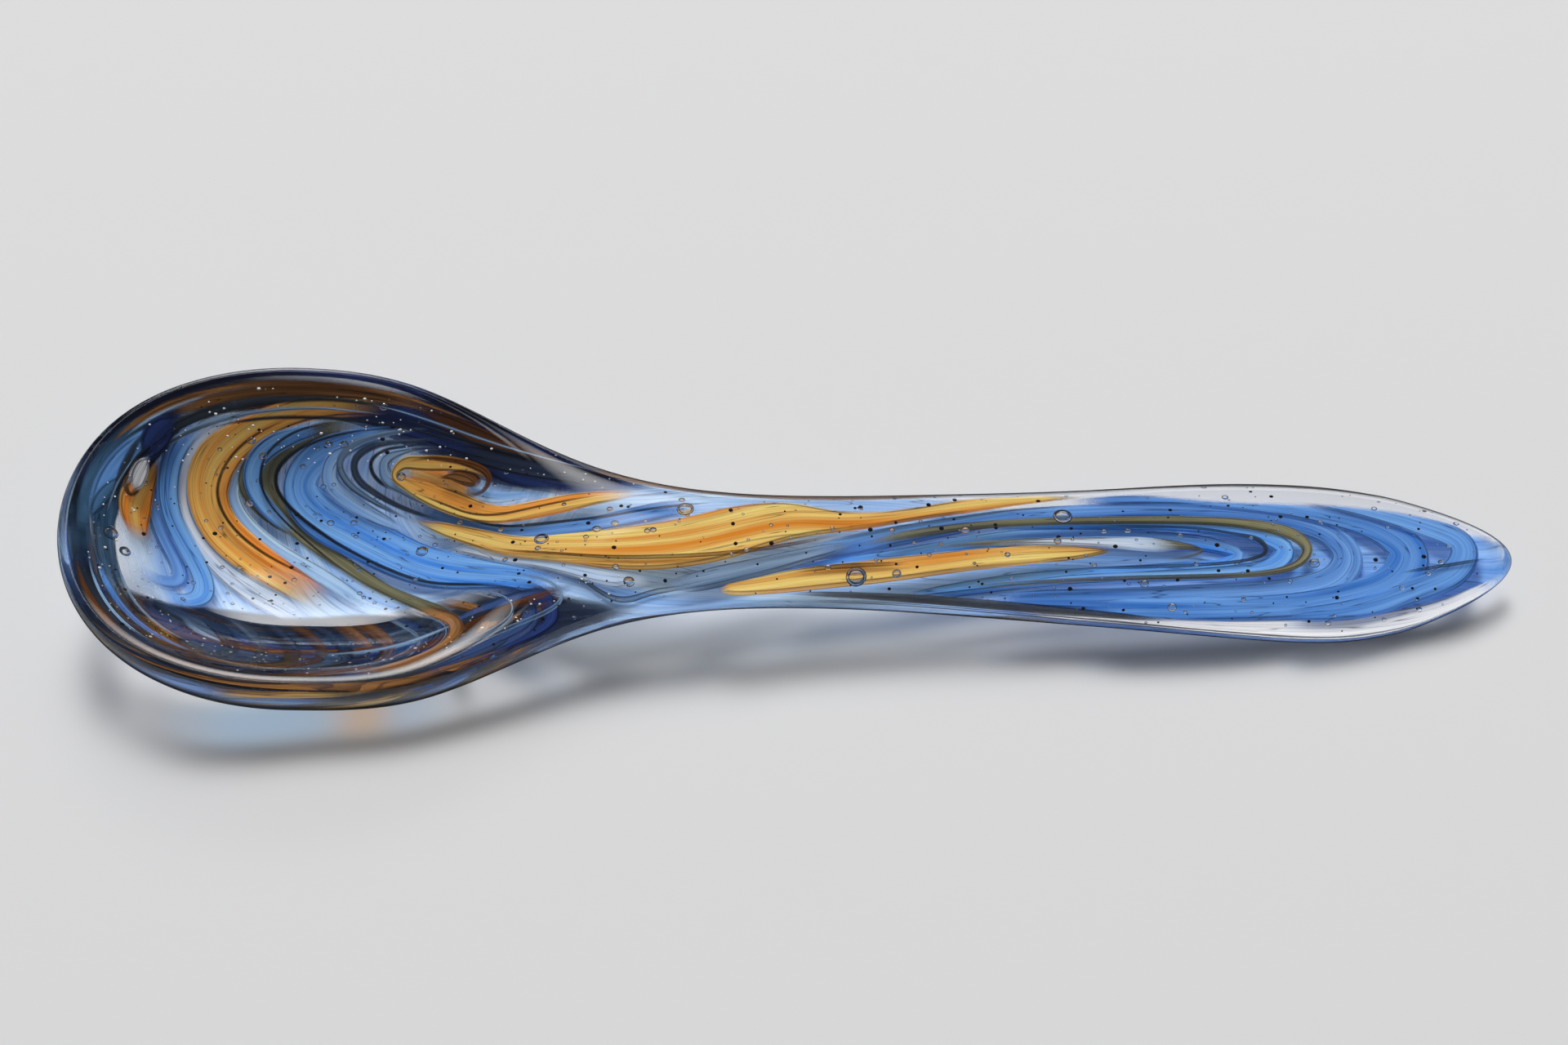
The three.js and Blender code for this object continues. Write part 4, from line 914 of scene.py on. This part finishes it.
# Fills and fine threads round the eye of the swirl and at the toe, given as the canes are
EYE_THREADS = (
    ("hook_fill", "amber", 1, (
        (40.2, 15.9, 0.3), (42.2, 15.2, 0.9), (44.4, 14.2, 1.2), (46.4, 13, 1.1), (48.2, 11.6, 0.8),
        (50, 9.8, 0.4),
    )),
    ("eye_ring", "umber", 5, (
        (41, 16.9, 0.1), (44, 16.9, 0.2), (46.6, 16.2, 0.24), (49, 15.2, 0.26), (51.2, 13.8, 0.28),
        (52.4, 12.2, 0.26), (52, 10.9, 0.24), (50.8, 10.6, 0.22), (49.8, 11.3, 0.2), (49.6, 12.3, 0.15),
    )),
    ("eye_brow", "rust", 5, (
        (45.6, 14.2, 0.12), (47.6, 13.9, 0.3), (49.2, 13.1, 0.34), (50.4, 12.2, 0.24), (50.9, 11.5, 0.12),
    )),
    ("hook_line", "umber", 5, (
        (41.6, 13.6, 0.08), (44.4, 12, 0.14), (47.4, 10, 0.16), (50.2, 8, 0.16), (53.2, 6.6, 0.16),
        (57, 6, 0.15), (62, 6.1, 0.14), (67, 6.4, 0.08),
    )),
    ("toe_night", "navy", 5, (
        (11.6, 19.2, 0.2), (10.2, 17.8, 0.6), (9, 16.4, 0.8), (8.1, 15, 0.6), (7.3, 13.6, 0.2),
    )),
    ("toe_white", "whitish", 5, (
        (8, 14, 0.1), (7.2, 12.6, 0.4), (6.6, 11.2, 0.5), (6.2, 9.9, 0.4), (5.9, 8.8, 0.15),
    )),
)

# Threads along the rim: side, colour, layer, then run and share of the way out at both ends, half width.
# The run is degrees from the toe, less 90, up to the widest place, and stations from there on
RIM_THREADS = (
    (-1, "amber", 1, -70, 0.84, 10, 0.99, 0.45), (-1, "ink", 3, -85, 0.95, 20, 0.9, 0.7),
    (-1, "rust", 2, -60, 0.74, 26, 0.94, 0.7), (-1, "rust", 1, -10, 0.96, 30, 0.72, 0.7),
    (-1, "navy", 4, -50, 0.68, 26, 0.84, 0.8), (-1, "night", 3, -30, 0.87, 28, 0.62, 0.7),
    (-1, "ink", 2, -75, 0.64, 30, 0.76, 0.8), (-1, "rust", 1, -20, 0.62, 30, 0.84, 0.7),
    (-1, "ink", 4, -30, 0.56, 32, 0.5, 0.5), (-1, "umber", 2, -40, 0.52, 28, 0.64, 0.8),
    (-1, "steel", 3, -60, 0.58, 20, 0.66, 0.5), (-1, "rust", 2, 8, 0.88, 32, 0.58, 0.5),
    (-1, "navy", 3, 4, 0.78, 34, 0.52, 0.8), (-1, "blue", 1, 10, 0.95, 26, 0.8, 0.5),
    (1, "tide", 2, -85, 0.93, -30, 0.93, 0.7), (1, "rust", 3, -40, 0.94, 16, 0.93, 0.45),
    (1, "ink", 4, -60, 0.9, 12, 0.91, 0.3), (1, "umber", 1, -25, 0.9, 14, 0.88, 0.5),
    (1, "navy", 2, 2, 0.88, 34, 0.8, 0.9), (1, "umber", 3, 12, 0.93, 36, 0.8, 0.5),
    (1, "dusk", 4, 18, 0.8, 40, 0.72, 0.8), (1, "tide", 1, -88, 0.85, -60, 0.88, 0.8),
    (1, "rust", 2, 34, 0.86, 82, 0.8, 0.7), (1, "ink", 3, 30, 0.93, 62, 0.94, 0.3),
    (1, "steel", 4, -70, 0.86, 10, 0.88, 0.22), (1, "sky", 3, -55, 0.95, -5, 0.95, 0.18),
    # Painted shade: these two ink threads, from run 55 and 60 to 148, draw the dark lines along the edges of
    # the neck and handle
    (1, "ink", 2, 55, 0.9, 148, 0.88, 0.35), (-1, "ink", 2, 60, 0.95, 148, 0.95, 0.3),
    (-1, "ink", 5, 12, 0.6, 31, 0.72, 0.9), (-1, "umber", 5, 6, 0.84, 34, 0.6, 0.5),
    (-1, "navy", 5, -50, 0.5, 8, 0.58, 0.7), (-1, "umber", 5, -30, 0.66, 14, 0.6, 0.45),
    (-1, "ink", 5, -20, 0.76, 26, 0.9, 0.5), (-1, "slate", 5, 0, 0.68, 22, 0.62, 0.4),
    # Painted shade: the first ink thread here, from run 58 to 108, draws a dark line along the near edge of
    # the neck
    (-1, "ink", 3, 58, 0.9, 108, 0.92, 0.4), (-1, "blue", 5, -80, 0.9, -20, 0.86, 0.3),
    (-1, "ink", 5, -84, 0.86, -10, 0.8, 0.22), (-1, "steel", 5, -86, 0.82, -30, 0.76, 0.16),
    (-1, "umber", 5, -78, 0.97, 0, 0.97, 0.25), (-1, "sky", 5, -80, 0.93, -20, 0.93, 0.12),
    (1, "rust", 5, -60, 0.97, -10, 0.96, 0.2), (1, "ink", 5, -84, 0.88, -20, 0.9, 0.2),
    (1, "blue", 4, -88, 0.92, -34, 0.91, 0.5), (1, "ink", 5, -80, 0.86, -45, 0.94, 0.25),
    (1, "steel", 5, -82, 0.88, -55, 0.9, 0.14), (1, "tide", 4, -88, 0.93, -62, 0.88, 0.4),
    (1, "ink", 5, -30, 0.86, 24, 0.84, 0.18), (1, "rust", 5, -20, 0.96, 22, 0.95, 0.18),
    (1, "steel", 5, 6, 0.91, 38, 0.86, 0.14), (1, "ink", 5, 10, 0.88, 44, 0.8, 0.2),
)
THREAD_END = 0.35             # of a thread's half width is left at its ends
THREAD_ORDER = 3              # the step of the stagger at which the threads begin


def rim_knots(side, run_a, share_a, run_b, share_b, half):
    """Knots of a thread that keeps near the rim, as a share of the way out from the middle."""
    knots = []
    for step in np.linspace(0, 1, RIM_KNOTS).tolist():
        run = run_a + (run_b - run_a) * step
        share = share_a + (share_b - share_a) * step
        if run < 0:
            turn = math.radians(run + 90)
            x = TOE * (1 - (share * math.cos(turn))**(2 / TOE_POWER))
            y = share * math.sin(turn) * outline(x)
        else:
            x = TOE + run * STATION
            y = share * outline(x)
        fade = math.sin(math.pi * min(step, 1 - step))
        knots.append((x / STATION, side * y / STATION, half * (THREAD_END + (1 - THREAD_END) * fade)))
    return knots


# Threads under the near wall, seen from outside, given as the rim threads are
UNDER_THREADS = (
    (-1, "amber", 0, -36, 0.82, 2, 0.94, 0.25), (-1, "blue", 0, -76, 0.86, -8, 0.97, 0.7),
    (-1, "blue", 0, -46, 0.82, 6, 0.96, 0.6), (-1, "ink", 0, -50, 0.84, 4, 0.95, 0.3),
    (-1, "sky", 0, -60, 0.9, -10, 0.95, 0.25), (-1, "ink", 0, -20, 0.8, 12, 0.95, 0.3),
    (-1, "amber", 0, -8, 0.8, 15, 0.96, 0.5), (-1, "deep", 0, -24, 0.78, 2, 0.92, 0.4),
    (-1, "amber", 0, 5, 0.76, 19, 0.93, 0.3), (-1, "ink", 0, 2, 0.82, 17, 0.97, 0.3),
    (-1, "deep", 0, 7, 0.8, 22, 0.97, 0.45), (-1, "steel", 0, 10, 0.78, 23, 0.94, 0.2),
    (-1, "amber", 0, 14, 0.74, 23, 0.92, 0.35), (-1, "ink", 0, 11, 0.76, 25, 0.96, 0.4),
    (-1, "rust", 0, 17, 0.72, 26, 0.94, 0.5), (-1, "night", 0, 21, 0.76, 33, 0.95, 0.6),
    (-1, "night", 0, -86, 0.9, -50, 0.94, 0.5), (-1, "amber", 0, -84, 0.95, -40, 0.97, 0.2),
)

# A whitish film along the near side of the handle, painted light where the clear glass there shows the lit
# table, given as the canes are
NEAR_MARGIN = ("near_margin", "whitish", 2, (
    (116, -7.8, 0.2), (124, -8.5, 0.3), (133, -9.4, 0.5), (143, -10.2, 0.7), (150, -10.2, 0.9),
    (156, -10, 1), (162, -9.1, 1.1), (168, -7.7, 1.1), (173, -5.8, 1), (177, -3.7, 0.8), (179, -2, 0.4),
))

# Arcs that cross the near wall and trail back along the rim: furthest station, colour, layer, half width
WALL_ARCS = (
    (61, "steel", 5, 0.22), (59.2, "navy", 2, 0.9), (57, "night", 3, 0.8), (55.6, "steel", 5, 0.16),
    (54, "ink", 2, 1), (52.2, "rust", 4, 0.5), (50.8, "ink", 3, 0.8), (49, "rust", 5, 0.7),
    (47.8, "steel", 5, 0.15), (46.6, "ink", 2, 0.7), (45.4, "night", 4, 0.5), (44.2, "steel", 5, 0.25),
    (42.4, "dusk", 3, 0.9), (40, "bark", 5, 0.9), (37.4, "bark", 4, 0.7), (34.6, "dusk", 5, 0.8),
    (31.6, "bark", 5, 0.6), (28, "dusk", 5, 0.9), (24, "shale", 5, 0.6), (20, "dusk", 5, 0.9),
)
ARC_ROUTE = (                 # stations back from there, and share of the way out
    (6, 0.24), (2.6, 0.4), (0.4, 0.57), (0, 0.72), (1.2, 0.83), (4.5, 0.89), (9, 0.92), (14, 0.94),
)
ARC_THINNING = 0.6            # of an arc's width is gone at its trailing end


def arc_knots(apex, half):
    knots = []
    for order, (back, share) in enumerate(ARC_ROUTE):
        x = (apex - back) * STATION
        fade = 1 - ARC_THINNING * order / (len(ARC_ROUTE) - 1)
        knots.append((apex - back, -share * edge(x) / STATION, half * fade))
    return knots


# Larger bubbles: station, across, radius in stations, share of the way up from the middle
BUBBLES = (
    (97, -5, 1.08, 0.5), (123, 3.2, 1.02, 0.75), (76, 2.9, 0.9, 0.75), (59.2, 0.1, 0.78, 0.6),
    (43.8, 3.8, 0.72, 0.7), (4, 1.4, 0.9, 0.5), (5.5, -0.4, 0.72, 0.5), (38.2, 22.6, 0.54, 0.5),
    (154, -3, 0.6, 0.7), (65.5, 0.1, 0.48, 0.7), (67.6, 0.8, 0.42, 0.7), (110.5, 0.3, 0.48, 0.7),
    (132.6, -6.2, 0.48, 0.6), (136, -8.7, 0.48, 0.4), (128, 0.7, 0.36, 0.7), (131, 0.9, 0.36, 0.7),
    (137.5, 0.3, 0.36, 0.7), (122, -0.9, 0.42, 0.7), (31, 19.3, 0.48, 0.6), (33, 19.3, 0.48, 0.6),
    (20.7, 12.3, 0.48, 0.6), (22.5, 17.9, 0.48, 0.6), (21, 19.3, 0.48, 0.6), (34.3, 9.6, 0.42, 0.6),
    (31.3, 9.7, 0.42, 0.6), (40.6, 15.3, 0.54, 0.6), (69, -7.6, 0.6, 0.6), (102, -4.6, 0.48, 0.4),
)
SEED_COUNT = 420              # the fine seed bubbles scattered through the glass
SEED_RADII = (0.12, 0.36)
SPECK_COUNT = 420             # the dark specks
SPECK_RADII = (0.09, 0.27)
GLINT_COUNT = 240             # painted glints: the finest seeds, drawn white against the dark rim of the bowl
GLINT_RADII = (0.08, 0.2)
GLINT_LAST = 70               # the station up to which they go
GLINT_OUT = 0.45              # least share of the way out to the rim
GLINT_UP = 0.7                # least share of the way up from the middle
SEED_STATIONS = (2, 178)
SEED_ACROSS = 26              # stations to either side in which the seeds are thrown
SEED_LIMIT = 0.9              # of the way out and up is the furthest that a seed lies
SEED_POWER = 3                # makes most of the seeds small
BUBBLE_STRETCH = 1.2          # length of a bubble along the spoon over its width
BUBBLE_ROOM = 1.3             # radii of glass kept over a bubble's middle
BUBBLE_MOST = 0.4             # of the half thickness of the glass is a bubble's largest radius
DARK = (0.01, 0.01, 0.012)
# white of the painted glints
PAINTED_GLINT_WHITE = (0.9, 0.9, 0.9)


def thrown(count, radii, seed, last=SEED_STATIONS[1], least=0, lowest=0):
    """Places of seeds thrown at random into the plan of the spoon, given as the bubbles are."""
    draw = random.Random(seed)
    places = []
    while len(places) < count:
        station = draw.uniform(SEED_STATIONS[0], last)
        across = draw.uniform(-SEED_ACROSS, SEED_ACROSS)
        small, large = radii
        radius = small + (large - small) * draw.random()**SEED_POWER
        level = draw.uniform(lowest, SEED_LIMIT)
        if least <= reach(station * STATION, across * STATION) < SEED_LIMIT:
            places.append((station, across, radius, level))
    return places


def bubble_points(centre, size):
    """Rings of points round a bubble, with a pole at each end."""
    around = 2 * BUBBLE_ROWS
    points = []
    for i in range(BUBBLE_ROWS + 1):
        tilt = math.pi * i / BUBBLE_ROWS
        ring = 1 if i in (0, BUBBLE_ROWS) else around
        for j in range(ring):
            turn = 2 * math.pi * j / around
            wide, high = math.sin(tilt) * math.cos(turn), math.sin(tilt) * math.sin(turn)
            points.append(centre + size * np.array((BUBBLE_STRETCH * math.cos(tilt), wide, high)))
    return points


def add_bubbles(name, places, material, slot):
    points = []
    faces = []
    for station, across, radius, level in places:
        x, y = station * STATION, across * STATION
        half = half_glass(x, y)
        size = min(radius * STATION, BUBBLE_MOST * half)
        centre = place(x, y, level * (half - BUBBLE_ROOM * size)) + np.array(SHIFT)
        inside_out = capped_rings(len(points), BUBBLE_ROWS - 1, 2 * BUBBLE_ROWS)
        faces += [face[:1] + face[:0:-1] for face in inside_out]
        points += bubble_points(centre, size)
    add_mesh(name, points, faces, material, slot).visible_shadow = False


casing_mesh = add_mesh(
    "casing", casing + np.array(SHIFT), capped_rings(0, CASING_ROWS - 1, 2 * CASING_COLUMNS),
    casing_material(), "clear_glass", "upper_casing", "under_casing",
).data
# painted shadow and coloured light: the share of light that the casing lets through
light = casing_mesh.attributes.new("light", "FLOAT_COLOR", "POINT")
light.data.foreach_set("color", thrown_light().astype(np.float32).ravel())
for order, cane in enumerate(CANES):
    film = add_cane(order, *cane)
    film.visible_shadow = cane[0] not in SHADOWLESS
for order, wash in enumerate(WASHES):
    film = add_cane(order, *wash, feather=WASH_FEATHER, swirled=wash[0] == "bowl_wash")
    film.visible_shadow = False
threads = {}
for order, (side, kind, layer, *route) in enumerate(RIM_THREADS + UNDER_THREADS):
    film = make_film(order + THREAD_ORDER, "rim_threads", layer, rim_knots(side, *route), rimmed=True)
    threads.setdefault((f"{kind}_rim_threads", kind), []).append(film)
for order, (apex, kind, layer, half) in enumerate(WALL_ARCS):
    film = make_film(order, "wall_arcs", layer, arc_knots(apex, half))
    threads.setdefault((f"{kind}_wall_arcs", kind), []).append(film)
for (name, kind), films in threads.items():
    add_films(name, kind, films).visible_shadow = False
add_cane(0, *NEAR_MARGIN, rimmed=True).visible_shadow = False
for order, thread in enumerate(EYE_THREADS):
    add_cane(order, *thread)
seeds = list(BUBBLES) + thrown(SEED_COUNT, SEED_RADII, seed=7)
add_bubbles("air_bubbles", seeds, bubble_material(), "clear_glass")
specks = thrown(SPECK_COUNT, SPECK_RADII, seed=11)
add_bubbles("dark_specks", specks, speck_material("dark_speck", DARK), "ink_glass")
# painted glints: white specks in the dark rim for the light that the finest seeds catch
glints = thrown(GLINT_COUNT, GLINT_RADII, seed=13, last=GLINT_LAST, least=GLINT_OUT, lowest=GLINT_UP)
add_bubbles("painted_glint_seeds", glints, speck_material("painted_glint_seed", PAINTED_GLINT_WHITE), "clear_glass")


def floor_material():
    """Pale paper, which the camera sees run out evenly into the pale room."""
    material, tree = new_material("floor")
    paper = node(tree, "ShaderNodeBsdfDiffuse", {"Color": (*FLOOR_COLOUR, 1)})
    room = node(tree, "ShaderNodeEmission", {"Color": (*FLOOR_COLOUR, 1)})
    away = distance(tree, node(tree, "ShaderNodeNewGeometry").outputs["Position"])
    fade = ramp(tree, away, (FLOOR_PLAIN, FLOOR_SIZE), (BLACK, WHITE))
    share = arithmetic(tree, "MULTIPLY", fade, light_path(tree, "Is Camera Ray"))
    surface(tree, blend(tree, share, paper, room))
    return material


def add_floor():
    mesh = bpy.data.meshes.new("floor")
    corners = [(x * FLOOR_SIZE, y * FLOOR_SIZE, -FLOOR_DROP) for x, y in ((-1, -1), (1, -1), (1, 1), (-1, 1))]
    mesh.from_pydata(corners, [], [(0, 1, 2, 3)])
    mesh.materials.append(floor_material())
    floor = bpy.data.objects.new("floor", mesh)
    bpy.context.scene.collection.objects.link(floor)


def add_aimed(data, aim, azimuth, elevation, far):
    """A lamp or camera aimed at a place; azimuth 0 is behind the spoon, 90 on its right."""
    turn, lift = math.radians(azimuth), math.radians(elevation)
    back = Vector((math.sin(turn) * math.cos(lift), math.cos(turn) * math.cos(lift), math.sin(lift)))
    obj = bpy.data.objects.new(data.name, data)
    obj.location = Vector(aim) + back * far
    obj.rotation_mode = "QUATERNION"
    obj.rotation_quaternion = back.to_track_quat("Z", "Y")
    bpy.context.scene.collection.objects.link(obj)
    return obj


def soften(lamp):
    """The softbox is brightest in the middle and falls off to its edges."""
    tree = empty_tree(lamp)
    where = node(tree, "ShaderNodeNewGeometry").outputs["Parametric"]
    fall = ramp(tree, distance(tree, where, LAMP_MIDDLE), LAMP_FALL, (WHITE, BLACK))
    surface(tree, node(tree, "ShaderNodeEmission", {"Color": fall}), "ShaderNodeOutputLight")


def add_softbox(name, aim, azimuth, elevation, far, size, watts):
    lamp = bpy.data.lights.new(name, "AREA")
    lamp.shape = "RECTANGLE"
    lamp.size, lamp.size_y = size
    lamp.energy = watts
    soften(lamp)
    obj = add_aimed(lamp, aim, azimuth, elevation, far)
    obj.visible_camera = False
    return obj


def add_lamps():
    """A key lamp that lights all but is not mirrored, and three small lamps mirrored in the glass only."""
    key = add_softbox(*KEY_LAMP)
    key.visible_glossy = False
    key.visible_transmission = False
    for lamp in MIRRORED_LAMPS:
        add_softbox(*lamp).visible_diffuse = False


def add_world():
    """A dark room, pale only where the camera looks past the floor."""
    world = bpy.data.worlds.new("studio")
    tree = empty_tree(world)
    where = node(tree, "ShaderNodeTexCoord").outputs["Generated"]
    height = node(tree, "ShaderNodeSeparateXYZ", {"Vector": where}).outputs["Z"]
    room = ramp(tree, height, (0, 1), (ROOM_LOW, ROOM_HIGH))
    colour = mix(tree, "MIX", light_path(tree, "Is Camera Ray"), room, (*FLOOR_COLOUR, 1))
    surface(tree, node(tree, "ShaderNodeBackground", {"Color": colour}), "ShaderNodeOutputWorld")
    bpy.context.scene.world = world


def add_camera():
    data = bpy.data.cameras.new("camera")
    data.sensor_fit = "HORIZONTAL"
    data.sensor_width = SENSOR_WIDTH
    data.lens = LENS_SHARE * SENSOR_WIDTH
    data.clip_start = CLIP_START
    aim = Vector(CAMERA_AIM) + SHIFT
    bpy.context.scene.camera = add_aimed(data, aim, CAMERA_AZIMUTH, CAMERA_ELEVATION, CAMERA_DISTANCE)


add_floor()
add_lamps()
add_world()
add_camera()

scene = bpy.context.scene
scene.view_settings.view_transform = "Standard"
scene.cycles.use_denoising = True
scene.cycles.max_bounces = 24
scene.cycles.transmission_bounces = 16
scene.cycles.transparent_max_bounces = 64
scene.cycles.caustics_reflective = False
scene.cycles.caustics_refractive = False
